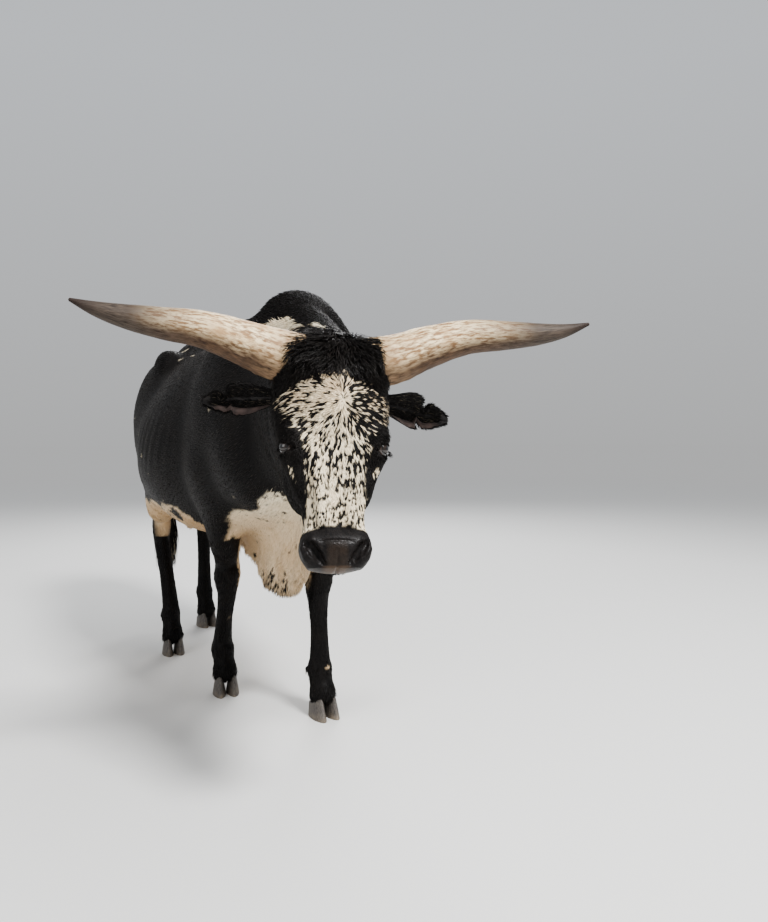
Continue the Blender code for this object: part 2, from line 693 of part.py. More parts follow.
def lid_opening(side):
    """Almond opening between the lids, flaring outwards."""
    points = []
    for height, flare in ((0.002, 1.0), (0.018, 1.0), (0.045, 1.5)):
        for k in range(14):
            angle = 2.0 * math.pi * k / 14
            points.append((0.0185 * flare * math.cos(angle),
                           0.0105 * flare * math.sin(angle) * (0.55 + 0.45 * abs(math.sin(angle))),
                           height))
    faces = [tuple(reversed(range(14))), tuple(range(28, 42))]
    for i in range(2):
        for k in range(14):
            a = i * 14 + k
            b = i * 14 + (k + 1) % 14
            faces.append((a, b, b + 14, a + 14))
    made = mesh_object("opening", points, faces)
    made.data.transform(eye_frame(side))
    orient(made)
    return made


def claw(name, which, grow=0.0):
    """One of a foot's two claws: flat sole, sloping wall, toe to the front."""
    foot = FEET[name][0]
    turn = (math.radians(5.0) if foot[0] > 0 else math.radians(-5.0))
    if name.startswith("fore"):
        turn -= math.radians(6.0)
    sides = 14
    points = []
    for share, inset in ((0.0, 0.0), (0.45, 0.0035), (1.0, 0.0085)):
        for k in range(sides):
            angle = 2.0 * math.pi * k / sides
            x = math.sin(angle)
            y = -math.cos(angle)
            length = CLAW_LENGTH / 2.0 - inset * (2.2 if y < 0 else 0.3)
            wide = CLAW_WIDTH / 2.0 - inset
            top = CLAW_HEIGHT * (0.80 - 0.26 * y)
            points.append((x * wide * (1.0 - 0.22 * max(-y, 0.0) ** 2), y * length
                           + inset * 0.9, share * top))
    faces = [tuple(range(sides)), tuple(reversed(range(2 * sides, 3 * sides)))]
    for i in range(2):
        for k in range(sides):
            a = i * sides + k
            b = i * sides + (k + 1) % sides
            faces.append((a, a + sides, b + sides, b))
    made = mesh_object("claw", points, faces)
    orient(made)
    if grow:
        wider = grown(made, "grown", grow)
        bpy.data.objects.remove(made, do_unlink=True)
        made = wider
    place = Matrix.Translation(Vector((foot[0], foot[1], 0.0))) @ Matrix.Rotation(turn, 4, "Z")
    made.data.transform(place @ Matrix.Translation(Vector((which * (CLAW_WIDTH / 2.0 + 0.0012), 0, 0))))
    return made


def tail_path():
    return smooth_path(((-0.005, 1.165, 1.225), (-0.010, 1.275, 1.190), (-0.018, 1.330, 1.080),
                        (-0.026, 1.345, 0.900), (-0.030, 1.345, 0.720), (-0.032, 1.350, 0.560)))


def lock(root, along, length, radius, bend, up):
    """Tapered lock of hair from its root, curving by bend towards its tip."""
    t = np.linspace(0.0, 1.0, 5)
    path = np.asarray(root) + np.outer(t, along) * length + np.outer(t ** 2, bend) * length
    return sweep("lock", path, radius * np.array((0.8, 1.0, 0.85, 0.5, 0.10)), 4, 0.6, up)


def poll_locks():
    """Shaggy hair over the poll: parted in the middle, falling outwards and down the forehead."""
    locks = []
    for row in range(5):
        for side in (-1.0, 1.0):
            for k in range(3):
                across = side * (0.010 + 0.026 * k + (0.011 if row % 2 else 0.0))
                down_face = 0.030 - 0.031 * row - 0.06 * abs(across)
                guess = from_head((across, -0.01 if row else 0.03, down_face))
                root = settle(bull, guess[None], 0.03, 8)[0]
                out = gradient(bull, root[None])[0]
                out /= np.linalg.norm(out)
                wave = math.sin(2.3 * k + 1.7 * row + side)
                room = max(12.0 * (0.072 - abs(across)), 0.0)
                aside = side * min(0.75 - 0.16 * row, room) + 0.10 * wave
                flow = from_head((aside, -0.5, -0.55 - 0.12 * row)) - from_head((0, 0, 0))
                along = flow - flow @ out * out
                along = along / np.linalg.norm(along) + (0.30 - 0.03 * row) * out
                length = 0.056 + 0.008 * math.sin(3.1 * k + row) + 0.004 * row
                bend = -0.30 * out + 0.12 * wave * np.cross(out, along)
                locks.append(lock(root - 0.007 * out, along, length, 0.0142, bend, out))
    return locks


def switch():
    """Bushy end of the tail: a core with tapered locks rooted round it, hanging and crossing."""
    x, y, z = tail_path()[-1]
    z -= GAP
    drop = np.linspace(0.0, 0.30, 7)
    core = np.stack([x + 0 * drop, y + 0.02 * drop, z - drop], 1)
    radii = (0.0165, 0.022, 0.026, 0.025, 0.020, 0.013, 0.003)
    made = sweep("tail_switch", core, radii, 8, up=(0, 1, 0))
    locks = []
    for row in range(4):
        for k in range(5):
            angle = math.tau * (k + 0.5 * row) / 5.0
            out = np.array((math.cos(angle), math.sin(angle), 0.0))
            root = np.array((x, y, z - 0.020 - 0.060 * row)) + 0.010 * out
            along = np.array((0.0, 0.0, -1.0)) + out * (0.36 - 0.04 * row)
            swirl = 0.10 * math.sin(1.9 * k + row) * np.array((-out[1], out[0], 0.0))
            locks.append(lock(root, along, 0.135 + 0.020 * math.sin(2.0 * k + 1.3 * row), 0.0135,
                              swirl - 0.20 * out, out))
    boolean(made, locks, "UNION")
    keep_largest(made)
    return made


def main():
    clear_scene()
    points, quads = polygonise(bull, (-0.50, -1.02, 0.02), (0.46, 1.46, 1.48), BODY_STEP)
    torso = mesh_object("torso", points, quads)
    decimate(torso, BODY_SHARE)
    points, quads = polygonise(lambda p: np.maximum(bull(p), p[:, 1] + 0.43),
                               (-0.50, -1.02, 0.45), (0.16, -0.36, 1.30), HEAD_STEP)
    head_piece = mesh_object("head", points, quads)
    decimate(head_piece, HEAD_SHARE)

    level = head_matrix(slope=0.0)
    face = dict(centre=(0, -0.22, -0.25), size=(0.9, 0.76, 1.2), frame=level)
    boolean(head_piece, [block("inside", **face)], "INTERSECT")
    keep_largest(head_piece)
    boolean(torso, [block("outside", grow=GAP, **face)], "DIFFERENCE")
    keep_largest(torso)

    pieces = {"head": head_piece, "torso": torso}
    pieces["neck"] = part_off(torso, "neck", centre=(0, -0.74, 0.8), size=(1.4, 1.0, 1.9))
    pieces["hump"] = part_off(torso, "hump", centre=(0.03, 0.0, 1.55), size=(0.8, 0.56, 0.5))
    for name, (foot, top, middle, low) in FEET.items():
        side = 1.0 if foot[0] > 0 else -1.0
        if name.startswith("fore"):
            where = dict(centre=(side * 0.262, foot[1] + 0.02, 0.1925), size=(0.5, 0.26, 0.585))
        else:
            lean = math.atan2(middle[1] - top[1], top[2] - middle[2])
            point = 0.45 * np.array(top) + 0.55 * np.array(middle)
            down = np.array((0.0, math.sin(lean), -math.cos(lean)))
            centre = point + down * 0.50
            where = dict(centre=(side * 0.30, centre[1], centre[2]), size=(0.49, 1.40, 1.00),
                         turn=(lean, 0.0, 0.0))
        piece = part_off(torso, name, **where)
        for which in (-1, 1):
            boolean(piece, [claw(name, which, GAP)], "DIFFERENCE")
        keep_largest(piece)
        pieces[name] = piece
        for which in (-1, 1):
            label = name.replace("leg", "claw") + ("_outer" if which * side > 0 else "_inner")
            pieces[label] = claw(name, which)
            pieces[label].name = label

    path = tail_path()
    radii = np.interp(np.arange(len(path)), (0, 4, 9, len(path) - 1), (0.034, 0.027, 0.020, 0.016))
    pieces["tail"] = sweep("tail", path, radii, 8, up=(1, 0, 0))
    deeper = path.copy()
    deeper[0] -= GAP * (path[1] - path[0]) / np.linalg.norm(path[1] - path[0])
    boolean(torso, [sweep("tail_fit", deeper, radii + GAP, 8, up=(1, 0, 0))], "DIFFERENCE")
    keep_largest(torso)
    pieces["tail_switch"] = switch()

    locks = poll_locks()
    fit = grown(head_piece, "fit")
    sockets = []
    for side, word in ((1, "left"), (-1, "right")):
        pieces["eye_" + word] = eyeball(side)
        sockets += [eyeball(side, GAP), lid_opening(side)]
    boolean(head_piece, sockets, "DIFFERENCE")
    keep_largest(head_piece)
    for side, word in ((1, "left"), (-1, "right")):
        for make, label in ((horn, "horn_"), (ear, "ear_")):
            piece = make(side)
            for lock_piece in locks:
                boolean(lock_piece, [grown(piece, "cutter")], "DIFFERENCE")
            boolean(piece, [copy_of(fit, "cutter")], "DIFFERENCE")
            keep_largest(piece)
            pieces[label + word] = piece
    bpy.data.objects.remove(fit, do_unlink=True)
    boolean(head_piece, [lock_piece for lock_piece in locks if lock_piece.data.polygons], "UNION")
    keep_largest(head_piece)

    looks = (
        ("horn", material("horn", (0.62, 0.55, 0.42), 0.55)),
        ("eye", material("eye", (0.020, 0.012, 0.008), 0.08)),
        ("claw", material("hoof", (0.10, 0.095, 0.09), 0.50)),
        ("switch", material("tail_hair", (0.015, 0.014, 0.013), 0.60)),
        ("", material("black_coat", (0.012, 0.012, 0.014), 0.42)),
    )
    low = np.full(3, 9.0)
    high = np.full(3, -9.0)
    for piece in pieces.values():
        box = np.array([v.co for v in piece.data.vertices])
        low = np.minimum(low, box.min(0))
        high = np.maximum(high, box.max(0))
    shift = Vector((-(low[0] + high[0]) / 2.0, -(low[1] + high[1]) / 2.0, -low[2]))
    for label, piece in pieces.items():
        piece.name = label
        piece.data.name = label
        piece.data.transform(Matrix.Translation(shift))
        piece.data.materials.clear()
        piece.data.materials.append(next(look for key, look in looks if key in label))
        piece.data.shade_smooth()
        piece.data.set_sharp_from_angle(angle=math.radians(40.0))
    return shift


SHIFT = main()
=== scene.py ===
"""Nguni bull at life size: hide, coat, horns, ears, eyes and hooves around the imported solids.

Metres, +Z up; the bull faces -Y and its left is at +X. Its forms are worked out in a frame
with y = 0 under the hump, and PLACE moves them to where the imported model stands.
"""
import math

import bmesh
import bpy
import numpy as np
from mathutils import Matrix, Vector


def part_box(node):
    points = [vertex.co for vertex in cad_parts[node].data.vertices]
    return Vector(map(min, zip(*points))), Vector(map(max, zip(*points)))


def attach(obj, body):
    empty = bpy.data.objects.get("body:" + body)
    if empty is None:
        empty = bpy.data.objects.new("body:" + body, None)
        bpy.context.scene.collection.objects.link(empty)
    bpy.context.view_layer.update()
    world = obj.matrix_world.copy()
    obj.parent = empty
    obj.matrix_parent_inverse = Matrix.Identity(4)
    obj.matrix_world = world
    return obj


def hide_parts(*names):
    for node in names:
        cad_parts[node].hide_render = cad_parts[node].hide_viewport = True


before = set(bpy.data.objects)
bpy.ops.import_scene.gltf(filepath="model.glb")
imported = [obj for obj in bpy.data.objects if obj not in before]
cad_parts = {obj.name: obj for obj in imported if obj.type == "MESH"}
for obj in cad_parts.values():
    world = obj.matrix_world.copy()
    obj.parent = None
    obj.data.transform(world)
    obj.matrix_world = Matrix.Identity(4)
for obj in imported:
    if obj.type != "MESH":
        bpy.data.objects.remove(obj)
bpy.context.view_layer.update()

# Hide. One skin over the whole body, from the muzzle to the root of the tail switch. It is the
# outer face of named masses of muscle, fat and bone that melt into each other, and it lies
# under the solids' surface by the depth of the short coat.
COAT_DEPTH = 0.0025
SKIN_STEP = 0.0163

HEAD_TURN = math.radians(20.0)
FACE_SLOPE = math.radians(18.0)
HEAD_ROLL = math.radians(1.5)
POLL = (-0.172, -0.687, 1.121)
EYE = (0.1050, 0.0315, -0.247)
EYE_RADIUS = 0.0195


def head_matrix(slope=FACE_SLOPE):
    """Frame of the head: turned about Z, leaned about X by the slope, then rolled about Y."""
    return (Matrix.Translation(Vector(POLL)) @ Matrix.Rotation(-HEAD_TURN, 4, "Z")
            @ Matrix.Rotation(-slope, 4, "X") @ Matrix.Rotation(HEAD_ROLL, 4, "Y"))


HEAD = np.array(head_matrix())
low_corner, high_corner = (np.array(v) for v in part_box("eye_left"))
PLACE = (low_corner + high_corner) / 2.0 - (np.array(EYE) @ HEAD[:3, :3].T + HEAD[:3, 3])


def to_head(p):
    """Head coordinates of points: x to the bull's left, y back, z up the face from the poll."""
    return (p - HEAD[:3, 3]) @ HEAD[:3, :3]


def from_head(q):
    """Body coordinates of points given in the head's frame."""
    return np.asarray(q) @ HEAD[:3, :3].T + HEAD[:3, 3]


def mirrored(p):
    """Points folded onto the bull's left: their sideways place is made positive."""
    return np.column_stack([np.abs(p[:, 0]), p[:, 1], p[:, 2]])


def curve(t, knots, values):
    """Cubic through the knots with slopes from their neighbours, level beyond the ends."""
    knots = np.asarray(knots, float)
    values = np.asarray(values, float)
    t = np.clip(t, knots[0], knots[-1])
    i = np.clip(np.searchsorted(knots, t) - 1, 0, len(knots) - 2)
    slope = np.gradient(values, knots)
    h = knots[i + 1] - knots[i]
    u = (t - knots[i]) / h
    return ((1 + 2 * u) * (1 - u) ** 2 * values[i] + u * (1 - u) ** 2 * h * slope[i]
            + u * u * (3 - 2 * u) * values[i + 1] + u * u * (u - 1) * h * slope[i + 1])


def smooth_path(joints, parts=3):
    """Rounded line through the joints, with parts steps to each span."""
    joints = np.asarray(joints, float)
    t = np.arange(len(joints), dtype=float)
    fine = np.linspace(0.0, len(joints) - 1.0, (len(joints) - 1) * parts + 1)
    return np.stack([curve(fine, t, joints[:, k]) for k in range(joints.shape[1])], 1)


def blend(a, b, width):
    """Smaller of two distances, rounded by a parabola where they differ by less than width."""
    h = np.clip(0.5 + 0.5 * (b - a) / width, 0.0, 1.0)
    return b + (a - b) * h - width * h * (1.0 - h)


def carve(a, b, width):
    """Mass a with b sunk into it as given by its negative, rounded by width."""
    return -blend(-a, b, width)


def ellipsoid(p, centre, radii, tilt=0.0):
    """Near distance to an ellipsoid: k0 (k0 - 1) / k1 from the point over radii and radii squared."""
    q = p - np.asarray(centre)
    if tilt:
        c = math.cos(tilt)
        s = math.sin(tilt)
        q = np.stack([q[:, 0], c * q[:, 1] - s * q[:, 2], s * q[:, 1] + c * q[:, 2]], 1)
    r = np.asarray(radii)
    k0 = np.sqrt(np.sum((q / r) ** 2, 1))
    k1 = np.sqrt(np.sum((q / r ** 2) ** 2, 1)) + 1e-9
    return k0 * (k0 - 1.0) / k1


def both_sides(p, centre, radii, tilt=0.0):
    """The ellipsoid on the left and its mirror image on the right."""
    return ellipsoid(mirrored(p), centre, radii, tilt)


def melt(d, p, masses):
    """Flesh with named masses added on both sides, each rounded in by its own width."""
    for centre, radii, tilt, width in masses.values():
        d = blend(d, both_sides(p, centre, radii, tilt), width)
    return d


def limb(p, joints, side, fore):
    """Near distance to a tapered rod of oval section along a line of joints."""
    result = np.full(len(p), 9.0)
    for i in range(len(joints) - 1):
        start = np.asarray(joints[i], float)
        line = np.asarray(joints[i + 1], float) - start
        length = np.linalg.norm(line)
        line /= length
        across = np.array([1.0, 0.0, 0.0]) - line[0] * line
        across /= np.linalg.norm(across)
        q = p - start
        t = np.clip(q @ line / length, 0.0, 1.0)
        rest = q - (t * length)[:, None] * line
        x = rest @ across
        rest = rest - x[:, None] * across
        y = np.sqrt(np.sum(rest ** 2, 1))
        rx = side[i] + (side[i + 1] - side[i]) * t
        ry = fore[i] + (fore[i + 1] - fore[i]) * t
        k0 = np.sqrt((x / rx) ** 2 + (y / ry) ** 2)
        k1 = np.sqrt((x / rx ** 2) ** 2 + (y / ry ** 2) ** 2) + 1e-9
        result = np.minimum(result, k0 * (k0 - 1.0) / k1)
    return result


def within(p, low, high, shape, margin=0.09):
    """A mass worked out only inside its own box; outside, the distance to the box and a margin."""
    away = np.maximum(np.maximum(np.asarray(low) - p, p - np.asarray(high)), 0.0)
    result = margin + np.sqrt(np.sum(away ** 2, 1))
    near = np.all(away <= 0.0, 1)
    if near.any():
        result[near] = shape(p[near])
    return result


def section(x, z, half, top, bottom, widest, power, low_power):
    """Rounded section: |x|^n + |z|^n of shares of its half-width and height, less one."""
    middle = bottom + (top - bottom) * widest
    height = np.where(z > middle, top - middle, middle - bottom)
    power = np.where(z > middle, power, low_power)
    kx = np.abs(x) / half
    kz = np.abs(z - middle) / height
    k = (kx ** power + kz ** power) ** (1.0 / power)
    return (k - 1.0) * np.minimum(half, height) * 0.9


TRUNK_Y = (-0.33, -0.20, 0.00, 0.20, 0.45, 0.70, 0.92, 1.10, 1.22, 1.29)
BACK_Z = (0.98, 1.13, 1.245, 1.270, 1.262, 1.272, 1.300, 1.275, 1.205, 1.09)
BELLY_Z = (0.76, 0.66, 0.585, 0.555, 0.530, 0.555, 0.640, 0.760, 0.880, 0.98)
HALF_WIDTH = (0.07, 0.185, 0.235, 0.270, 0.320, 0.314, 0.258, 0.215, 0.165, 0.09)


def trunk(p):
    """Barrel: a rounded section whose top, bottom and width are curves along the body."""
    y = np.clip(p[:, 1], TRUNK_Y[0], TRUNK_Y[-1])
    over = np.abs(p[:, 1] - y)
    roof = curve(y, (-0.3, 0.3, 0.6, 0.9), (2.1, 2.1, 1.80, 1.62))
    keel = curve(y, (-0.3, 0.1, 0.5, 0.8), (1.75, 1.8, 2.25, 2.25))
    widest = curve(y, (-0.3, 0.1, 0.5, 0.9), (0.52, 0.50, 0.43, 0.45))
    d = section(p[:, 0], p[:, 2], curve(y, TRUNK_Y, HALF_WIDTH), curve(y, TRUNK_Y, BACK_Z),
                curve(y, TRUNK_Y, BELLY_Z), widest, roof, keel)
    return np.where(over > 0.0, np.sqrt(np.maximum(d, 0.0) ** 2 + over ** 2), d)


def neck_middle(y):
    """Sideways place of the neck's middle plane where it turns to the bull's right."""
    return curve(y, (-0.75, -0.60, -0.40, -0.20, -0.02), (-0.200, -0.148, -0.072, -0.016, 0.0))


def neck(p):
    """Neck as one thick rod, with its crest as a second one along its top."""
    joints = smooth_path(((0.0, 0.02, 0.95), (-0.02, -0.22, 0.955), (-0.078, -0.42, 0.970),
                          (-0.148, -0.60, 0.975)))
    share = np.linspace(0.0, 1.0, len(joints))
    d = limb(p, joints, 0.228 - 0.108 * share, 0.305 - 0.140 * share)
    crest = smooth_path(((0.02, -0.02, 1.29), (-0.025, -0.26, 1.205), (-0.085, -0.44, 1.135),
                         (-0.135, -0.58, 1.085)))
    return blend(d, limb(p, crest, np.linspace(0.085, 0.052, len(crest)),
                         np.linspace(0.075, 0.050, len(crest))), 0.07)


DEWLAP_Y = (-0.64, -0.50, -0.38, -0.28, -0.18, -0.05, 0.08, 0.21, 0.34)
DEWLAP_Z = (0.80, 0.735, 0.640, 0.535, 0.450, 0.398, 0.412, 0.470, 0.560)


def dewlap(p):
    """Hanging fold: a sheet on the neck's middle plane, waved more towards its lower edge."""
    x, y, z = p.T
    edge = curve(y, DEWLAP_Y, DEWLAP_Z)
    up = np.clip((z - edge) / 0.22, 0.0, 1.0)
    fold = 0.010 * np.sin(22.0 * y + 9.0 * z) * (1.0 - up)
    small = 0.004 * np.sin(61.0 * y + 24.0 * z + 2.0 * np.sin(9.0 * z)) * (1.0 - up) ** 0.7
    thick = 0.019 + 0.034 * up ** 1.5
    hang = -0.022 * np.clip((y + 0.40) / 0.3, 0.0, 1.0) * (1.0 - up)
    d = np.abs(x - neck_middle(y) - fold - small - hang) - thick
    ragged = 0.006 * np.sin(48.0 * y) * np.sin(17.0 * y + 1.0)
    d = np.maximum(d, np.maximum(edge + ragged - z, z - 0.95))
    return np.maximum(d, np.maximum(DEWLAP_Y[0] - y, y - DEWLAP_Y[-1]))


FEET = {
    "foreleg_left": ((0.096, -0.100), (0.178, 0.030, 0.78), (0.092, -0.065, 0.435),
                     (0.095, -0.070, 0.150)),
    "foreleg_right": ((-0.105, 0.270), (-0.185, 0.130, 0.78), (-0.115, 0.232, 0.420),
                      (-0.105, 0.305, 0.150)),
    "hindleg_left": ((0.118, 1.195), (0.185, 0.900, 0.760), (0.125, 1.270, 0.530),
                     (0.118, 1.235, 0.160)),
    "hindleg_right": ((-0.138, 0.835), (-0.190, 0.810, 0.760), (-0.140, 1.020, 0.520),
                      (-0.138, 0.880, 0.160)),
}


LEG_ROOM = 0.16
FOOT_DEPTH = 0.012
FOOT_TOP = 0.074
LEG_FORM = {
    "fore": {"upper": 0.45, "above": 0.055, "below": 0.060,
             "side": (0.074, 0.054, 0.042, 0.046, 0.034, 0.029, 0.034, 0.041, 0.038, 0.043),
             "deep": (0.108, 0.074, 0.047, 0.048, 0.038, 0.033, 0.038, 0.044, 0.038, 0.048)},
    "hind": {"upper": 0.55, "above": 0.060, "below": 0.070,
             "side": (0.084, 0.060, 0.037, 0.040, 0.034, 0.030, 0.034, 0.040, 0.037, 0.043),
             "deep": (0.140, 0.096, 0.052, 0.054, 0.043, 0.036, 0.039, 0.044, 0.038, 0.048)},
}


def leg_box(name):
    """Corners of the space that a leg fills: its joints' own box and some room round it."""
    foot, top, middle, low = FEET[name]
    points = np.array([(*foot, 0.0), top, middle, low])
    return points.min(0) - LEG_ROOM, points.max(0) + LEG_ROOM


def leg(p, name):
    """Leg from elbow or stifle to hoof: an oval rod through knee or hock, cannon and fetlock."""
    foot, top, middle, low = (np.asarray(v, float) for v in FEET[name])
    hoof = np.array([foot[0], foot[1] + FOOT_DEPTH, FOOT_TOP])
    form = LEG_FORM[name[:4]]
    upper = top * form["upper"] + middle * (1.0 - form["upper"])
    joints = np.stack([top, upper, middle + [0, 0, form["above"]], middle,
                       middle - [0, 0, form["below"]], middle * 0.45 + low * 0.55,
                       low + [0, 0, 0.03], low, low * 0.5 + hoof * 0.5, hoof])
    fine = smooth_path(np.column_stack([joints, form["side"], form["deep"]]), 3)
    d = limb(p, fine[:, :3], fine[:, 3], fine[:, 4])
    back = low * 0.5 + middle * 0.5 + [0, 0.024, 0.0]
    tendon = (middle + [0, 0.022, -0.07], back, low + [0, 0.020, 0.02])
    d = blend(d, limb(p, tendon, (0.013,) * 3, (0.015, 0.012, 0.016)), 0.012)
    if name.startswith("hind"):
        heel = middle + [0, 0.045, 0.035]
        d = blend(d, limb(p, (top * 0.45 + middle * 0.55 + [0, 0.06, 0.03], heel, middle),
                          (0.014, 0.022, 0.02), (0.02, 0.024, 0.02)), 0.025)
    else:
        d = blend(d, ellipsoid(p, middle + [0, -0.022, 0.012], (0.034, 0.024, 0.040)), 0.02)
    return d


def hamstring(p, name):
    """Muscle from the pin bone down the back of the thigh into the leg above the hock."""
    foot, top, middle = (np.asarray(v, float) for v in FEET[name][:3])
    side = math.copysign(1.0, foot[0])
    end = 0.38 * top + 0.62 * middle + [0.0, 0.015, 0.0]
    half = np.array((side * 0.135, 0.45 * end[1] + 0.55 * 1.185 + 0.03, 0.865))
    joints = smooth_path(((side * 0.105, 1.165, 1.080), half, end))
    side_way = np.interp(np.arange(len(joints)), (0, 3, 6), (0.075, 0.078, 0.044))
    fore_way = np.interp(np.arange(len(joints)), (0, 3, 6), (0.075, 0.085, 0.050))
    return limb(p, joints, side_way, fore_way)


def sheath(p):
    """Fold of skin under the belly, its opening pointing forward and down."""
    joints = smooth_path(((0, 0.84, 0.590), (0, 0.66, 0.535), (0, 0.52, 0.490)))
    share = np.linspace(0.0, 1.0, len(joints))
    d = limb(p, joints, 0.036 - 0.008 * share, 0.048 - 0.016 * share)
    return carve(d, ellipsoid(p, (0, 0.487, 0.480), (0.012, 0.022, 0.014)), 0.006)


def scrotum(p):
    """Two testes side by side under a short neck of skin."""
    d = both_sides(p, (0.027, 0.965, 0.570), (0.036, 0.044, 0.072))
    stalk = limb(p, ((0, 0.960, 0.76), (0, 0.965, 0.600)), (0.04, 0.036), (0.04, 0.036))
    return blend(d, stalk, 0.03)


TAIL_LINE = smooth_path(((-0.005, 1.165, 1.225), (-0.010, 1.275, 1.190), (-0.018, 1.330, 1.080),
                         (-0.026, 1.345, 0.900), (-0.030, 1.345, 0.720), (-0.032, 1.350, 0.560)))


def tail(p):
    """Dock and tail: a round rod that thins down to the switch."""
    radii = np.interp(np.arange(len(TAIL_LINE)), (0, 4, 9, len(TAIL_LINE) - 1),
                      (0.036, 0.027, 0.020, 0.016))
    return limb(p, TAIL_LINE, radii, radii)


HUMP = ((0.066, 0.02, 1.228), (0.126, 0.182, 0.150))
CROUP = ((0, 0.72, 1.235), (0, 0.95, 1.270), (0, 1.17, 1.232))
FLANK_HOLLOW = ((0.30, 0.76, 1.12), (0.14, 0.09, 0.10))
BODY_MASSES = {
    "shoulder blade": ((0.150, 0.015, 0.980), (0.100, 0.165, 0.270), -0.22, 0.11),
    "point of shoulder": ((0.145, -0.150, 0.830), (0.090, 0.100, 0.120), 0.0, 0.10),
    "upper arm": ((0.172, 0.130, 0.800), (0.080, 0.110, 0.130), 0.0, 0.08),
    "thigh": ((0.134, 0.995, 0.970), (0.104, 0.190, 0.250), 0.10, 0.09),
    "hip bone": ((0.146, 0.890, 1.222), (0.042, 0.062, 0.046), 0.0, 0.06),
    "pin bone": ((0.070, 1.225, 1.125), (0.045, 0.050, 0.060), 0.0, 0.05),
}


def body(p):
    """Trunk, neck, hump, shoulders, rump, legs and tail melted into one."""
    d = trunk(p)
    d = blend(d, neck(p), 0.10)
    d = blend(d, within(p, (-0.35, -0.75, 0.3), (0.2, 0.6, 1.05), dewlap), 0.035)
    d = blend(d, ellipsoid(p, *HUMP), 0.07)
    d = melt(d, p, BODY_MASSES)
    d = blend(d, limb(p, CROUP, (0.05, 0.06, 0.035), (0.045, 0.045, 0.04)), 0.06)
    centre, size = FLANK_HOLLOW
    d = d + 0.022 * np.exp(-np.sum(((mirrored(p) - centre) / size) ** 2, 1))
    for name in FEET:
        d = blend(d, within(p, *leg_box(name), lambda q, n=name: leg(q, n)), 0.055)
        if name.startswith("hind"):
            d = blend(d, hamstring(p, name), 0.07)
    d = blend(d, within(p, (-0.10, 0.30, 0.38), (0.10, 0.94, 0.72), sheath), 0.06)
    d = blend(d, within(p, (-0.10, 0.84, 0.44), (0.10, 1.10, 0.90), scrotum), 0.025)
    return blend(d, within(p, (-0.12, 1.05, 0.50), (0.10, 1.46, 1.32), tail), 0.035)


FACE_S = (-0.02, 0.05, 0.12, 0.20, 0.265, 0.33, 0.40, 0.465, 0.515)
FACE_WIDTH = (0.078, 0.114, 0.131, 0.127, 0.105, 0.086, 0.071, 0.072, 0.058)
FACE_FRONT = (0.050, 0.010, 0.000, -0.004, 0.000, 0.004, 0.006, 0.006, 0.020)
FACE_BACK = (0.120, 0.170, 0.195, 0.215, 0.228, 0.205, 0.160, 0.128, 0.100)
EYE_AXIS = Vector((0.80, -0.59, -0.06)).normalized()
EYE_LINE = Vector((0.55, 0.75, 0.22))
EYE_LINE = (EYE_LINE - EYE_LINE.dot(EYE_AXIS) * EYE_AXIS).normalized()
EYE_FRAME = np.array((EYE_LINE, -EYE_AXIS.cross(EYE_LINE), EYE_AXIS))
LID_HALF = 0.0200
LID_RISE = 0.0125


LID_THICK = 0.0034


def eye_axes(q):
    """Place from the nearer eye's centre: a along its opening, o up and g out along the gaze."""
    return ((mirrored(q) - np.array(EYE)) @ EYE_FRAME.T).T


def lids(q, d):
    """Skin of the lids over the eyeball, with an almond opening between them.

    A shell of the eyeball's radius plus the lid's thickness is added, then everything above
    the ball where |o| is less than the almond's half-height is taken away.
    """
    a, o, g = eye_axes(q)
    ball = np.sqrt(a * a + o * o + g * g)
    d = blend(d, ball - EYE_RADIUS - LID_THICK, 0.012)
    share = np.clip(1.0 - (a / LID_HALF) ** 2, 0.0, 1.0)
    rise = np.where(o > 0.0, LID_RISE, 0.72 * LID_RISE) * share ** 0.75
    almond = (np.abs(o) - rise) * 0.8 + 0.012 * np.clip(np.abs(a) / LID_HALF - 1.0, 0.0, 3.0)
    near = np.sqrt(a * a + o * o)
    margin = np.exp(-((almond - 0.0022) / 0.0022) ** 2) * (g > 0.0) * (near < 0.03)
    fold = np.exp(-((o - rise - 0.0105) / 0.0022) ** 2) * (g > 0.0) * (np.abs(a) < 0.03)
    under = np.exp(-((o + rise + 0.0100) / 0.0024) ** 2) * (g > 0.0) * (np.abs(a) < 0.026)
    d = d - 0.0013 * margin + 0.0016 * fold + 0.0010 * under
    opening = np.maximum(almond, np.maximum(0.004 - g, near - 0.034))
    return carve(d, opening, 0.0016)


HEAD_MASSES = {
    "poll": ((0, 0.075, -0.015), (0.092, 0.070, 0.040), 0.0, 0.03),
    "horn root": ((0.078, 0.056, -0.040), (0.054, 0.068, 0.067), 0.0, 0.03),
    "ear root": ((0.104, 0.104, -0.100), (0.030, 0.026, 0.028), 0.0, 0.02),
    "eye socket": ((0.094, 0.044, -0.242), (0.030, 0.046, 0.050), 0.0, 0.024),
    "brow": ((0.098, 0.026, -0.222), (0.022, 0.026, 0.014), 0.0, 0.016),
    "cheek": ((0.070, 0.140, -0.270), (0.038, 0.072, 0.095), 0.0, 0.04),
}
MUZZLE_MASSES = {
    "nose pad": ((0, 0.056, -0.477), (0.078, 0.058, 0.050), 0.0, 0.025),
    "nostril wing": ((0.053, 0.030, -0.475), (0.024, 0.028, 0.036), 0.0, 0.016),
    "chin": ((0, 0.103, -0.472), (0.050, 0.036, 0.046), 0.0, 0.020),
}
CHEEK_RIDGE = ((0.095, 0.062, -0.25), (0.072, 0.058, -0.335))
NOSE_RIDGE = ((0.052, 0.016, -0.245), (0.036, 0.008, -0.34), (0.030, 0.004, -0.42))
NOSTRIL_RIM = ((0.060, 0.004, -0.462), (0.070, 0.018, -0.478), (0.066, 0.022, -0.497))
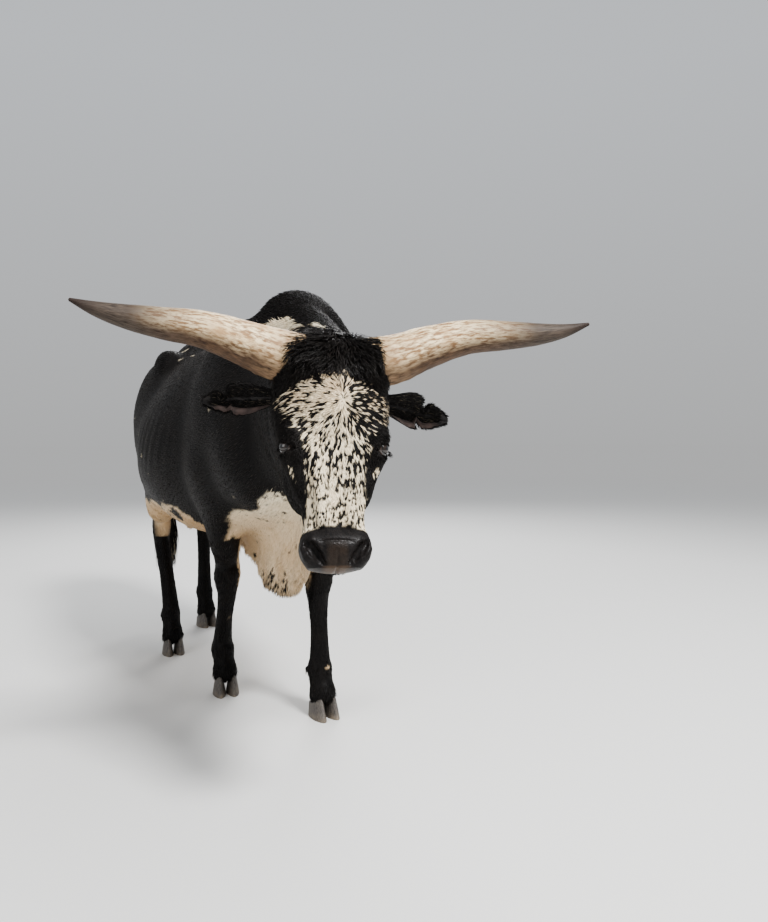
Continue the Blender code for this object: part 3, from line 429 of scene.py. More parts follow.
NOSTRIL = ((0.062, 0.010, -0.468), (0.052, 0.000, -0.480), (0.040, 0.004, -0.498),
           (0.032, 0.012, -0.506))


def head(p):
    """Skull and face: a rounded section along the face, with poll, cheeks, muzzle and lips."""
    q = to_head(p)
    s = -q[:, 2]
    t = np.clip(s, FACE_S[0], FACE_S[-1])
    over = np.abs(s - t)
    power = np.full(len(q), 2.6)
    d = section(q[:, 0], -q[:, 1], curve(t, FACE_S, FACE_WIDTH), -curve(t, FACE_S, FACE_FRONT),
                -curve(t, FACE_S, FACE_BACK), 0.62, power, power)
    d = np.where(over > 0.0, np.sqrt(np.maximum(d, 0.0) ** 2 + over ** 2), d)
    d = melt(d, q, HEAD_MASSES)
    r = mirrored(q)
    d = blend(d, limb(r, CHEEK_RIDGE, (0.018, 0.012), (0.018, 0.014)), 0.03)
    d = blend(d, limb(r, NOSE_RIDGE, (0.010, 0.012, 0.012), (0.010, 0.012, 0.012)), 0.02)
    return np.minimum(lids(q, muzzle(q, r, s, d)), d + 0.02)


def muzzle(q, r, s, d):
    """Broad nose pad with comma-shaped nostrils, upper lip, mouth line and chin."""
    d = melt(d, q, MUZZLE_MASSES)
    d = blend(d, limb(r, NOSTRIL_RIM, (0.007, 0.008, 0.006), (0.007, 0.008, 0.006)), 0.010)
    nostril = limb(r, NOSTRIL, (0.004, 0.0085, 0.008, 0.004), (0.010, 0.018, 0.016, 0.008))
    d = carve(d, nostril, 0.006)
    lips = 0.078 - 0.20 * np.clip(s - 0.507, -0.11, 0.02)
    line = np.exp(-((q[:, 1] - lips) / 0.0045) ** 2) * np.clip((s - 0.397) / 0.02, 0.0, 1.0)
    groove = np.exp(-(q[:, 0] / 0.0035) ** 2) * np.clip((s - 0.478) / 0.02, 0.0, 1.0)
    groove = groove * np.clip((0.075 - q[:, 1]) / 0.02, 0.0, 1.0)
    crease = np.exp(-((s - 0.462 - 1.6 * q[:, 0] ** 2) / 0.0035) ** 2)
    crease = crease * np.clip(1.0 - (q[:, 0] / 0.040) ** 2, 0.0, 1.0) * (q[:, 1] < 0.04)
    return d + 0.0085 * line + 0.0030 * groove + 0.0022 * crease


def bull(p):
    """The whole animal's flesh: body and head."""
    near_head = within(p, (-0.50, -1.00, 0.45), (0.20, -0.42, 1.25), head)
    return blend(body(p), near_head, 0.035)


def ribs(p):
    """Low waves over the ribs, where the flank is seen in raking light."""
    across = np.clip(np.abs(p[:, 0]) / 0.2 - 0.4, 0.0, 1.0)
    place = np.exp(-((p[:, 1] - 0.52) / 0.20) ** 2 - ((p[:, 2] - 0.90) / 0.17) ** 2)
    return 0.0016 * across * place * np.sin(95.0 * (p[:, 1] + 0.35 * (p[:, 2] - 0.9)))


def coronet(p, name):
    """Height of a point over the hoof's upper rim, which slopes down from toe to heel."""
    foot = FEET[name][0]
    away = np.sqrt((p[:, 0] - foot[0]) ** 2 + (p[:, 1] - foot[1]) ** 2)
    rim = 0.0525 - 0.31 * np.clip(p[:, 1] - foot[1], -0.055, 0.055)
    return np.where(away < 0.12, p[:, 2] - rim, 9.0)


def dewclaws(p, name):
    """Pair of small horny knobs behind the fetlock."""
    low = np.array(FEET[name][3])
    return both_sides(p - low, (0.020, 0.046, -0.014), (0.0120, 0.0140, 0.0195), -0.5)


def hide_field(p):
    """Distance to the hide: the flesh drawn in by the coat's depth, cut at the coronets."""
    d = bull(p)
    for name in FEET:
        d = blend(d, within(p, *leg_box(name), lambda q, n=name: dewclaws(q, n)), 0.006)
    d = d + COAT_DEPTH + ribs(p)
    for name in FEET:
        d = carve(d, coronet(p, name) + 0.010, 0.008)
    return d


def gradient(field, points, reach=0.0012):
    """Slope of a field by differences to both sides along each axis."""
    parts = []
    for k in range(3):
        shift = np.zeros(3)
        shift[k] = reach
        parts.append((field(points + shift) - field(points - shift)) / (2.0 * reach))
    return np.stack(parts, 1)


def settle(field, points, step, rounds):
    """Draw points along the field's slope onto its surface, a limited step at a time."""
    for _ in range(rounds):
        slope = gradient(field, points)
        move = -field(points)[:, None] * slope / (np.sum(slope ** 2, 1)[:, None] + 1e-9)
        size = np.sqrt(np.sum(move ** 2, 1))[:, None]
        points = points + move * np.minimum(1.0, 0.6 * step / (size + 1e-12))
    return points


def polygonise(field, low, high, step):
    """Closed quad surface where the field is zero.

    Each grid cell that the surface crosses holds one point, the mean of the crossings on its
    edges, and each crossed edge makes the quad of its four cells.
    """
    coarse = 4
    low = np.asarray(low, float)
    count = np.ceil((np.asarray(high) - low) / (step * coarse)).astype(int)
    axes = [low[k] + np.arange(count[k] + 1) * step * coarse for k in range(3)]
    nodes = np.stack(np.meshgrid(*axes, indexing="ij"), -1)
    rough = field(nodes.reshape(-1, 3)).reshape(count + 1)
    fine = [np.arange(count[k] * coarse + 1) for k in range(3)]
    nearest = [(f + coarse // 2) // coarse for f in fine]
    value = rough[np.ix_(*nearest)]
    band = np.argwhere(np.abs(value) < 1.7 * step * coarse)
    value[tuple(band.T)] = field(low + band * step)
    inside = value < 0.0
    corner = np.zeros(np.array(inside.shape) - 1, np.int8)
    for shift in np.ndindex(2, 2, 2):
        corner += inside[tuple(slice(o, n - 1 + o) for o, n in zip(shift, inside.shape))]
    mixed = (corner > 0) & (corner < 8)
    label = np.full(corner.shape, -1)
    label[mixed] = np.arange(mixed.sum())
    total = np.zeros((mixed.sum(), 3))
    weight = np.zeros(mixed.sum())
    quads = []
    unit = np.eye(3, dtype=int)
    for axis in range(3):
        lower = inside.take(range(inside.shape[axis] - 1), axis)
        upper = inside.take(range(1, inside.shape[axis]), axis)
        edge = np.argwhere(lower != upper)
        a = value[tuple(edge.T)]
        b = value[tuple((edge + unit[axis]).T)]
        point = edge + unit[axis] * (a / (a - b))[:, None]
        u = unit[(axis + 1) % 3]
        v = unit[(axis + 2) % 3]
        ring = [label[tuple((edge - i * u - j * v).T)] for i, j in ((1, 1), (0, 1), (0, 0), (1, 0))]
        for cell in ring:
            np.add.at(total, cell, point)
            np.add.at(weight, cell, 1.0)
        quad = np.stack(ring, 1)
        quad[a > 0.0] = quad[a > 0.0][:, ::-1]
        quads.append(quad)
    points = low + total / weight[:, None] * step
    return settle(field, points, step, 3), np.concatenate(quads)


def piece(name, points, *faces):
    """Object from an array of points and arrays of faces, one array for each corner count."""
    faces = [np.asarray(f) for f in faces if len(f)]
    corners = np.concatenate([f.ravel() for f in faces]).astype(np.int32)
    sizes = np.concatenate([np.full(len(f), f.shape[1]) for f in faces])
    mesh = bpy.data.meshes.new(name)
    mesh.vertices.add(len(points))
    mesh.vertices.foreach_set("co", np.asarray(points, np.float32).ravel())
    mesh.loops.add(len(corners))
    mesh.loops.foreach_set("vertex_index", corners)
    mesh.polygons.add(len(sizes))
    mesh.polygons.foreach_set("loop_start", (np.cumsum(sizes) - sizes).astype(np.int32))
    mesh.polygons.foreach_set("use_smooth", np.ones(len(sizes), bool))
    mesh.update(calc_edges=True)
    made = bpy.data.objects.new(name, mesh)
    bpy.context.scene.collection.objects.link(made)
    return made


def points_of(made):
    """Points and normals of a mesh object as arrays."""
    count = len(made.data.vertices)
    place = np.empty(count * 3, np.float32)
    normal = np.empty(count * 3, np.float32)
    made.data.vertices.foreach_get("co", place)
    made.data.vertices.foreach_get("normal", normal)
    return place.reshape(-1, 3).astype(float), normal.reshape(-1, 3).astype(float)


def refine(mesh, wanted):
    """Split each face whose centre is wanted into four, with fitting faces round the region."""
    work = bmesh.new()
    work.from_mesh(mesh)
    centre = np.array([f.calc_center_median()[:] for f in work.faces])
    chosen = [f for f, flag in zip(work.faces, wanted(centre)) if flag]
    edges = list({e for f in chosen for e in f.edges})
    bmesh.ops.subdivide_edges(work, edges=edges, cuts=1, use_grid_fill=True)
    work.to_mesh(mesh)
    work.free()


def relax(made, step, rounds=2):
    """Even out the points: each moves half way to its neighbours' mean, then back to the hide."""
    mesh = made.data
    place, _ = points_of(made)
    ends = np.empty(len(mesh.edges) * 2, np.int32)
    mesh.edges.foreach_get("vertices", ends)
    a, b = ends.reshape(-1, 2).T
    for _ in range(rounds):
        total = np.zeros_like(place)
        count = np.zeros(len(place))
        for one, other in ((a, b), (b, a)):
            np.add.at(total, one, place[other])
            np.add.at(count, one, 1.0)
        place = place * 0.5 + 0.5 * total / np.maximum(count, 1.0)[:, None]
        place = settle(hide_field, place, step, 1)
    mesh.vertices.foreach_set("co", place.astype(np.float32).ravel())
    mesh.update()


def fine_zone(p):
    """Where the grid is halved once: head, neck, dewlap, legs, underline and tail."""
    return (p[:, 1] < -0.10) | (p[:, 2] < 0.56) | (p[:, 1] > 1.285)


def head_zone(p):
    """Where it is halved twice: the head, as far back as the jaw and the poll."""
    q = to_head(p)
    return (q[:, 1] < 0.25) & (q[:, 2] < 0.07) & (q[:, 1] < 0.26 + 0.2 * q[:, 2])


def face_zone(p):
    """Where it is halved three times: round the eyes, and the nose and lips."""
    q = to_head(p)
    eye = mirrored(q) - np.array(EYE)
    return (np.sum(eye ** 2, 1) < 0.034 ** 2) | ((q[:, 2] < -0.445) & (q[:, 1] < 0.06))


BULL_LOW = (-0.50, -1.02, 0.02)
BULL_HIGH = (0.46, 1.46, 1.48)
points, quads = polygonise(hide_field, BULL_LOW, BULL_HIGH, SKIN_STEP)
hide = piece("hide", points, quads)
for zone, step in ((fine_zone, 0.007), (head_zone, 0.0035), (face_zone, 0.0018)):
    refine(hide.data, zone)
    relax(hide, step)
place, _ = points_of(hide)
hide.data.vertices.foreach_set("co", (place + PLACE).astype(np.float32).ravel())
hide.data.update()
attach(hide, "root")
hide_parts("head", "neck", "torso", "hump", "foreleg_left", "foreleg_right",
            "hindleg_left", "hindleg_right", "tail")

# Markings of the hide. A black bull with a white blaze full of black flecks, a cream brisket
# and underline with black spots, and a few white flecks and streaks. Skin and hair take
# them from the same functions of place.
CELL_MIX = (374761393, 668265263, 2147483629)
SEED_MIX = 974711
STIR = (1274126177, 668265263)


def scatter(cell, seed):
    """Even pseudo-random numbers from 0 to 1 for whole-number cells, by integer mixing."""
    c = cell.astype(np.int64)
    h = c[..., 0] * CELL_MIX[0] + c[..., 1] * CELL_MIX[1] + c[..., 2] * CELL_MIX[2]
    h = h + seed * SEED_MIX
    h = (h ^ (h >> 13)) * STIR[0]
    h = (h ^ (h >> 15)) * STIR[1]
    return ((h ^ (h >> 16)) & 0xFFFFFF) / float(0x1000000)


def noise(p, size, seed=0):
    """Smooth noise from 0 to 1: cell corners' random numbers mixed by 3u^2 - 2u^3."""
    q = p / size
    cell = np.floor(q)
    u = q - cell
    u = u * u * (3.0 - 2.0 * u)
    total = np.zeros(len(p))
    for corner in np.ndindex(2, 2, 2):
        share = np.prod(np.where(np.array(corner) == 1, u, 1.0 - u), axis=1)
        total += share * scatter(cell + np.array(corner), seed)
    return total


def spots(p, size, small, large, chance, seed):
    """Depth inside scattered round spots: radius less distance to the nearest jittered centre."""
    cell = np.floor(p / size)
    best = np.full(len(p), -9.0)
    for corner in np.ndindex(3, 3, 3):
        at = cell + np.array(corner) - 1.0
        centre = at + np.stack([scatter(at, seed + k) for k in (1, 2, 3)], 1)
        radius = small + (large - small) * scatter(at, seed + 4)
        radius = np.where(scatter(at, seed + 5) < chance, radius, -9.0)
        best = np.maximum(best, radius - np.sqrt(np.sum((p - centre * size) ** 2, 1)))
    return best


def smooth(a, low, high):
    """Rise from 0 at low to 1 at high by 3u^2 - 2u^3."""
    u = np.clip((a - low) / (high - low), 0.0, 1.0)
    return u * u * (3.0 - 2.0 * u)


def unit(ways):
    """Directions at length one: each row over the root of the sum of its squares."""
    return ways / (np.linalg.norm(ways, axis=1)[:, None] + 1e-9)


def laid_flat(ways, out):
    """Directions along a surface: each less its part along the normal out, at length one."""
    return unit(ways - np.sum(ways * out, 1)[:, None] * out)


WHORL = (0.014, -0.150)


def on_head(q):
    """Share of a point's lying on the head rather than the neck behind it."""
    return (smooth(-q[:, 2], -0.14, -0.06) * (1.0 - smooth(q[:, 1] + 0.35 * q[:, 2], 0.13, 0.20))
            * smooth(0.21 - np.abs(q[:, 0]), 0.0, 0.03) * (q[:, 1] < 0.30))


def lie(p):
    """Way the hair lies: back along the trunk, down the legs, and out of a whorl on the brow.

    On the face it runs away from the whorl's centre, more sideways above it and more
    downwards below it; on the poll it falls outwards from the parting.
    """
    x, y, z = p.T
    lower = smooth(0.70 - z, 0.0, 0.16) * (1.0 - smooth(0.16 - np.abs(x), 0.08, 0.16) * (z > 0.45))
    rump = smooth(y, 1.08, 1.24)
    front = smooth(-y, 0.05, 0.35)
    down = -0.22 - 0.9 * rump - 0.40 * front
    way = np.stack([0.10 * np.sign(x) * (z > 1.15), 1.0 - 0.75 * rump, down], 1)
    way = way * (1.0 - lower)[:, None] + np.array((0.0, 0.16, -1.0)) * lower[:, None]
    q = to_head(p)
    dx = q[:, 0] - WHORL[0]
    dz = q[:, 2] - WHORL[1]
    reach = np.sqrt(dx * dx + dz * dz) + 1e-6
    out = dx / reach
    up = dz / reach
    side = smooth(np.abs(q[:, 0]), 0.055, 0.10) * smooth(q[:, 1], 0.0, 0.05)
    below = smooth(-q[:, 2], 0.16, 0.42)
    fan = np.stack([out * (1.15 - 0.75 * below), 0.15 + 0 * out,
                    np.where(up > 0, 0.55 * up, 0.9 * up) - 0.75 * below], 1)
    cheek = np.stack([0 * out, 0.75 + 0 * out, -0.65 + 0 * out], 1)
    fan = fan * (1.0 - side)[:, None] + cheek * side[:, None]
    way_head = fan @ HEAD[:3, :3].T
    on = on_head(q)[:, None]
    return unit(way * (1.0 - on) + way_head * on)


def streaks(p, size, reach, seed):
    """Noise drawn out along the hair: mean of five samples along its lie, evened in contrast."""
    way = lie(p)
    total = np.zeros(len(p))
    for k in (-2, -1, 0, 1, 2):
        total += noise(p + way * (k * reach / 4.0), size, seed)
    return 0.5 + (total / 5.0 - 0.5) * 1.9


def nose_line(q):
    """Depth below the hair's ragged edge over the bare nose, in metres down the face."""
    return -q[:, 2] - 0.431 - 2.4 * q[:, 0] ** 2


def bare_share(p):
    """Share of bare skin: the nose pad, upper lip and nostrils, and the rims of the lids."""
    q = to_head(p)
    edge = nose_line(q) + 0.006 * (noise(p, 0.006, 40) - 0.5)
    pad = smooth(edge, -0.0012, 0.0018) * smooth(0.088 - q[:, 1], 0.0, 0.012)
    a, o, g = eye_axes(q)
    rim = smooth(0.0048 - np.abs(np.abs(o) - 0.0065), 0.0, 0.002) * (np.abs(a) < 0.024) * (g > 0.008)
    return np.maximum(pad * on_head(q), rim * (np.sqrt(a * a + o * o) < 0.026))


BLAZE_S = (0.070, 0.085, 0.100, 0.118, 0.17, 0.22, 0.25, 0.28, 0.32, 0.37, 0.41, 0.43, 0.45)
BLAZE_HALF = (0.0, 0.045, 0.085, 0.118, 0.124, 0.092, 0.078, 0.071, 0.069, 0.066, 0.068, 0.080, 0.092)
CHEEK_FLECKS = (((0.098, 0.040, -0.306), 0.007), ((-0.101, 0.040, -0.312), 0.009),
                ((0.105, 0.045, -0.345), 0.006), ((-0.104, 0.050, -0.20), 0.006))
HUMP_LINE = ((-0.098, -0.150, 1.242, 0.017), (-0.090, -0.205, 1.245, 0.019),
             (-0.110, -0.315, 1.216, 0.007), (-0.125, -0.400, 1.199, 0.004),
             (-0.112, -0.430, 1.203, -0.004), (-0.097, -0.425, 1.209, 0.006),
             (-0.119, -0.543, 1.173, 0.008), (-0.150, -0.630, 1.146, 0.005))


def hump_line(p):
    """Depth inside the white line at the foot of the hump: a chain of balls and cones."""
    best = np.full(len(p), -9.0)
    for one, two in zip(HUMP_LINE[:-1], HUMP_LINE[1:]):
        a, b = np.array(one[:3]), np.array(two[:3])
        share = np.clip((p - a) @ (b - a) / ((b - a) @ (b - a)), 0.0, 1.0)
        wide = one[3] + (two[3] - one[3]) * share
        best = np.maximum(best, wide - np.linalg.norm(p - a - share[:, None] * (b - a), axis=1))
    return best


def white_share(p):
    """White (1) or black (0) of the coat at body points.

    On the face the blaze is white where noise drawn out along the hair passes a threshold,
    which a coarser noise, the cream brow and the blaze's darker sides raise or lower. Round
    black dots lie over its lower part.
    """
    q = to_head(p)
    x = q[:, 0]
    s = -q[:, 2]
    on = on_head(q)
    fleck = streaks(p, 0.0040, 0.0085, 11)
    coarse = noise(p, 0.022, 12)
    edge = curve(s, BLAZE_S, BLAZE_HALF) + 0.024 * (noise(p, 0.011, 13) - 0.5)
    face = smooth(edge - np.abs(x - 0.003), -0.004, 0.006) * smooth(s, 0.062, 0.082)
    face = face * (1.0 - smooth(nose_line(q), -0.004, 0.003)) * smooth(0.085 - q[:, 1], 0.0, 0.03)
    cream = smooth(x, -0.100, -0.066) * (1.0 - smooth(x, 0.022, 0.046))
    cream = cream * (1.0 - smooth(s, 0.185, 0.25)) * smooth(s, 0.072, 0.095)
    dark_side = smooth(x, 0.018, 0.050) * (1.0 - smooth(s, 0.18, 0.26))
    chance = 0.51 + 0.17 * cream - 0.20 * dark_side + 0.06 * smooth(s, 0.26, 0.33)
    chance = chance - 0.20 * smooth(np.abs(x) / edge, 0.66, 1.0) + 0.22 * (coarse - 0.5)
    white = smooth(fleck + (chance - 0.5) * 0.70, 0.475, 0.525)
    dots = spots(p, 0.0092, 0.0027, 0.0043, 0.95, 21) - 0.01 * (1.0 - smooth(s, 0.30, 0.38))
    white = white * (1.0 - smooth(dots, -0.0004, 0.0006))
    lower = smooth(s + 0.03 * (coarse - 0.5), 0.335, 0.365)
    white = np.maximum(white, lower * (dots < -0.0004) * smooth(fleck, 0.24, 0.32))
    face = face * white
    for at, size in CHEEK_FLECKS:
        d = np.sqrt(np.sum(((q - np.array(at)) / (1.0, 1.0, 1.7)) ** 2, 1))
        face = np.maximum(face, smooth(size - d + 0.020 * (fleck - 0.5), -0.001, 0.002))
    cheek = spots(p, 0.040, 0.0015, 0.0045, 0.30, 31) - 0.01 * (1.0 - smooth(q[:, 1], 0.03, 0.06))
    face = np.maximum(face, smooth(cheek, -0.0005, 0.0008))
    line = smooth(hump_line(p) + 0.008 * (fleck - 0.5), -0.001, 0.002)
    return np.maximum(face * on + coat_white(p, fleck) * (1.0 - on), line)


PALE_Y = (-0.60, -0.45, -0.25, -0.05, 0.10, 0.30, 0.50, 0.80, 1.0)
PALE_TOP = (0.66, 0.70, 0.725, 0.70, 0.640, 0.615, 0.625, 0.640, 0.62)
LEG_STREAK_Z = (0.34, 0.42, 0.48, 0.56, 0.60)
LEG_STREAK = (0.0, 0.010, 0.012, 0.018, 0.0)


def coat_white(p, fleck):
    """White of the body behind the head: brisket, underline, and flecks on back and flanks.

    It is white below a line along the body that two noises make ragged, less black spots and
    the legs, plus scattered spots on the back and flanks and a streak inside one leg.
    """
    x, y, z = p.T
    wave = noise(p, 0.055, 51) - 0.5
    fine = noise(p, 0.014, 52) - 0.5
    line = curve(y, PALE_Y, PALE_TOP)
    line = line + 0.075 * wave + 0.030 * fine + 0.018 * (fleck - 0.5)
    inner = np.where(y < 0.34, 0.165, 0.30) + 0.05 * wave
    low = smooth(line - z, -0.003, 0.004) * smooth(inner - np.abs(x), 0.0, 0.015)
    low = low * (1.0 - smooth(y, 0.96, 1.02))
    leg = np.maximum(smooth(np.abs(x), 0.045, 0.055) * (z < 0.47),
                     smooth(np.abs(x), 0.08, 0.10) * (z < 0.56) * (y > -0.2) * (y < 0.36))
    leg = np.maximum(leg, smooth(0.395 - z, 0.0, 0.01))
    low = low * (1.0 - leg)
    dark = np.maximum(spots(p, 0.055, 0.005, 0.012, 0.50, 61) + 0.012 * fine,
                      spots(p, 0.026, 0.0022, 0.0058, 0.42, 71) + 0.005 * fine)
    foot = smooth(0.462 + 0.08 * wave - z, 0.0, 0.01) * smooth(fleck, 0.50, 0.60)
    foot = foot * smooth(0.13 - np.abs(y), 0.0, 0.04)
    low = low * (1.0 - smooth(dark, -0.001, 0.0015)) * (1.0 - foot)
    back = spots(p, 0.050, 0.006, 0.013, 0.50, 81) + 0.014 * (fleck - 0.55)
    top = smooth(z, 1.185, 1.23) * smooth(y, 0.36, 0.50) * (1.0 - smooth(y, 1.05, 1.2))
    low = np.maximum(low, smooth(back, 0.0, 0.003) * smooth(top * 0.9 + wave, 0.30, 0.45))
    flank = spots(p, 0.085, 0.0050, 0.0095, 0.22, 91) + 0.008 * (fleck - 0.5)
    band = smooth(z, 0.60, 0.70) * (1.0 - smooth(z, 0.98, 1.12)) * smooth(y, 0.40, 0.55)
    low = np.maximum(low, smooth(flank, 0.0, 0.002) * smooth(band + wave, 0.5, 0.7))
    streak = curve(z, LEG_STREAK_Z, LEG_STREAK)
    inside = np.sqrt((x + 0.078 + 0.14 * (z - 0.45)) ** 2 + (y - 0.225) ** 2 * 0.6)
    leg_mark = smooth(streak + 0.016 * (fleck - 0.5) + 0.016 - inside, 0.0, 0.003)
    low = np.maximum(low, leg_mark * (z > 0.34) * (z < 0.60) * (x < 0.0) * (y < 0.33))
    return low


def warm_share(p):
    """Cream (0) to tan (1) of the white hair, deepest on the underline and sheath."""
    _, y, z = p.T
    q = to_head(p)
    on = on_head(q)
    face = 0.12 + 0.45 * smooth(0.22 + q[:, 2], 0.0, 0.1) * noise(p, 0.03, 15)
    under = smooth(0.74 - z, 0.0, 0.16) * (0.50 + 0.45 * noise(p, 0.06, 16) + 0.2 * (y > 0.35))
    return np.clip(face * on + under * (1.0 - on), 0.0, 1.0)


def store(made, **values):
    """Keep values on the points of a piece, under their own names."""
    for label, value in values.items():
        layer = made.data.attributes.new(label, "FLOAT", "POINT")
        layer.data.foreach_set("value", np.asarray(value, np.float32))


class Tree:
    """Short way to build a material: nodes by kind, joined by name or number."""

    def __init__(self, name):
        """Open a new material of this name at its shader."""
        self.look = bpy.data.materials.new(name)
        self.look.use_nodes = True
        self.tree = self.look.node_tree
        self.shader = self.tree.nodes["Principled BSDF"]

    def node(self, kind, **inputs):
        """Add a node of a kind; set_ words are its settings, the others its inputs."""
        made = self.tree.nodes.new("ShaderNode" + kind)
        for key, value in inputs.items():
            if key.startswith("set_"):
                setattr(made, key[4:], value)
            else:
                self.put(made.inputs[key.replace("_", " ")], value)
        return made

    def put(self, socket, value):
        """Join another node's output to a socket, or give the socket a plain value."""
        if isinstance(value, bpy.types.NodeSocket):
            self.tree.links.new(value, socket)
        else:
            socket.default_value = value

    def finish(self, **inputs):
        """Give the shader's inputs their values and return the material."""
        for key, value in inputs.items():
            self.put(self.shader.inputs[key.replace("_", " ")], value)
        return self.look

    def attribute(self, label):
        """Value stored on a piece's points under this label."""
        return self.node("Attribute", set_attribute_name=label).outputs["Fac"]

    def mix(self, share, one, other):
        """Colour one at share 0 and the other at share 1."""
        made = self.node("Mix", set_data_type="RGBA")
        self.put(made.inputs[0], share)
        self.put(made.inputs[6], one)
        self.put(made.inputs[7], other)
        return made.outputs[2]

    def blend(self, share, one, other):
        """Number one at share 0 and the other at share 1."""
        made = self.node("Mix", set_data_type="FLOAT")
        for socket, value in zip((0, 2, 3), (share, one, other)):
            self.put(made.inputs[socket], value)
        return made.outputs[0]

    def sum(self, kind, *values, clamp=False):
        """Arithmetic of a kind on two or three values."""
        made = self.node("Math", set_operation=kind, set_use_clamp=clamp)
        for socket, value in zip(made.inputs, values):
            self.put(socket, value)
        return made.outputs[0]

    def grain(self, scale, detail=4.0, stretch=None, vector=None, rough=0.55):
        """Noise on Object coordinates, drawn out where stretch is small."""
        place = vector or self.node("TexCoord").outputs["Object"]
        if stretch is not None:
            place = self.node("Mapping", Vector=place, Scale=stretch).outputs["Vector"]
        made = self.node("TexNoise", Vector=place, Scale=scale, Detail=detail, Roughness=rough)
        return made.outputs["Fac"]

    def ramp(self, value, low, high, start=0.0, end=1.0):
        """Straight rise from start where the value is low to end where it is high."""
        made = self.node("MapRange", Value=value, From_Min=low, From_Max=high, To_Min=start,
                         To_Max=end)
        return made.outputs[0]

    def bump(self, height, depth, strength=1.0, normal=None):
        """Normal tilted by a height, over another normal if one is given."""
        made = self.node("Bump", Height=height, Distance=depth, Strength=strength)
        if normal is not None:
            self.put(made.inputs["Normal"], normal)
        return made.outputs["Normal"]


JET = (0.0035, 0.0033, 0.0036, 1)
BROWN_BLACK = (0.0080, 0.0066, 0.0058, 1)
SUNNED_BLACK = (0.016, 0.0130, 0.0115, 1)
CREAM_ROOT = (0.58, 0.47, 0.31, 1)
CREAM_TIP = (0.93, 0.85, 0.68, 1)
TAN_ROOT = (0.40, 0.25, 0.13, 1)
TAN_TIP = (0.66, 0.48, 0.29, 1)
DUST = (0.62, 0.52, 0.44, 1)
DUST_SPREAD = 0.45


def hair_colour(look):
    """Black to brown-black or cream to tan hair, by the marks and a shade of its own."""
    shade = look.attribute("shade")
    drift = look.grain(7.0, 3.0)
    black = look.mix(look.ramp(drift, 0.35, 0.75), JET, BROWN_BLACK)
    black = look.mix(look.ramp(shade, 0.35, 1.4), black, SUNNED_BLACK)
    cream = look.mix(look.ramp(shade, 0.0, 1.0), CREAM_ROOT, CREAM_TIP)
    tan = look.mix(look.ramp(shade, 0.0, 1.0), TAN_ROOT, TAN_TIP)
    pale = look.mix(look.attribute("warm"), cream, tan)
    return look.mix(look.attribute("white"), black, pale)


def hair_look(name, rough=0.52, sheen=0.02):
    """Coat hair: glossy, with a faint brown dust on the black."""
    look = Tree(name)
    return look.finish(Base_Color=hair_colour(look), Roughness=rough, Specular_IOR_Level=0.20,
                       Sheen_Weight=sheen, Sheen_Roughness=DUST_SPREAD, Sheen_Tint=DUST)


CHARCOAL = (0.0060, 0.0055, 0.0056, 1)
GREY_SKIN = (0.018, 0.015, 0.014, 1)
PINK_SKIN = (0.105, 0.070, 0.046, 1)
HAIR_ALONG = (420.0, 46.0, 380.0)
HAIR_DOWN = (420.0, 380.0, 46.0)


def hide_look():
    """Short coat seen as skin: hair streaks in the bump, and the bare wet nose."""
    look = Tree("hide_skin")
    bare = look.attribute("bare")
    charcoal = look.mix(look.ramp(look.grain(160.0, 4.0), 0.3, 0.7), CHARCOAL, GREY_SKIN)
    nose = look.mix(look.attribute("pink"), charcoal, PINK_SKIN)
    dull = look.ramp(look.attribute("wet"), 0.0, 1.0, 0.66, 0.27)
    nose_rough = look.sum("MULTIPLY_ADD", look.ramp(look.grain(30.0, 2.0), 0.2, 0.8), 0.14, dull)
    coat_rough = look.sum("MULTIPLY_ADD", look.grain(9.0, 3.0), 0.22, 0.38)
    along = look.grain(1.0, 5.0, HAIR_ALONG, rough=0.62)
    down = look.grain(1.0, 5.0, HAIR_DOWN, rough=0.62)
    streak = look.blend(look.attribute("downward"), along, down)
    hairs = look.sum("MULTIPLY", streak, look.sum("SUBTRACT", 1.0, bare, clamp=True))
    soft = look.bump(look.grain(38.0, 3.0), 0.0012, 0.35)
    brushed = look.bump(hairs, 0.0011, 0.75, soft)
    cells = look.node("TexVoronoi", Vector=look.node("TexCoord").outputs["Object"], Scale=330.0)
    pebble = look.sum("MULTIPLY", look.ramp(cells.outputs["Distance"], 0.0, 0.8), bare)
    return look.finish(Base_Color=look.mix(bare, hair_colour(look), nose),
                       Roughness=look.blend(bare, coat_rough, nose_rough),
                       Specular_IOR_Level=0.14, Sheen_Weight=0.02, Sheen_Roughness=DUST_SPREAD,
                       Sheen_Tint=DUST, Normal=look.bump(pebble, -0.0007, 0.6, brushed))


place, _ = points_of(hide)
place = place - PLACE
q = to_head(place)
way = lie(place)
wet_pad = (smooth(0.040 - np.abs(q[:, 0]), 0.0, 0.028) * smooth(-q[:, 2], 0.455, 0.485)
           * smooth(0.060 - q[:, 1], 0.0, 0.04) * (0.6 + 0.8 * noise(place, 0.012, 18)))
lip_edge = smooth(-q[:, 2], 0.512, 0.517) * smooth(0.040 - np.abs(q[:, 0]), 0.0, 0.025)
nostril_x = (np.abs(q[:, 0]) - 0.044) / 0.014
nostril_z = (q[:, 2] + 0.490) / 0.018
inner_nostril = np.exp(-(nostril_x ** 2 + nostril_z ** 2))
store(hide, white=white_share(place), warm=warm_share(place), bare=bare_share(place),
      pink=np.clip(0.15 * wet_pad + 0.55 * lip_edge - 0.5 * inner_nostril, 0.0, 1.0),
      wet=smooth(-q[:, 2], 0.446, 0.462) * (1.0 - 0.9 * np.clip(inner_nostril, 0.0, 1.0)),
      shade=0.30 + 0.4 * noise(place, 0.012, 17), downward=smooth(-way[:, 2], 0.45, 0.80))
hide.data.materials.append(hide_look())

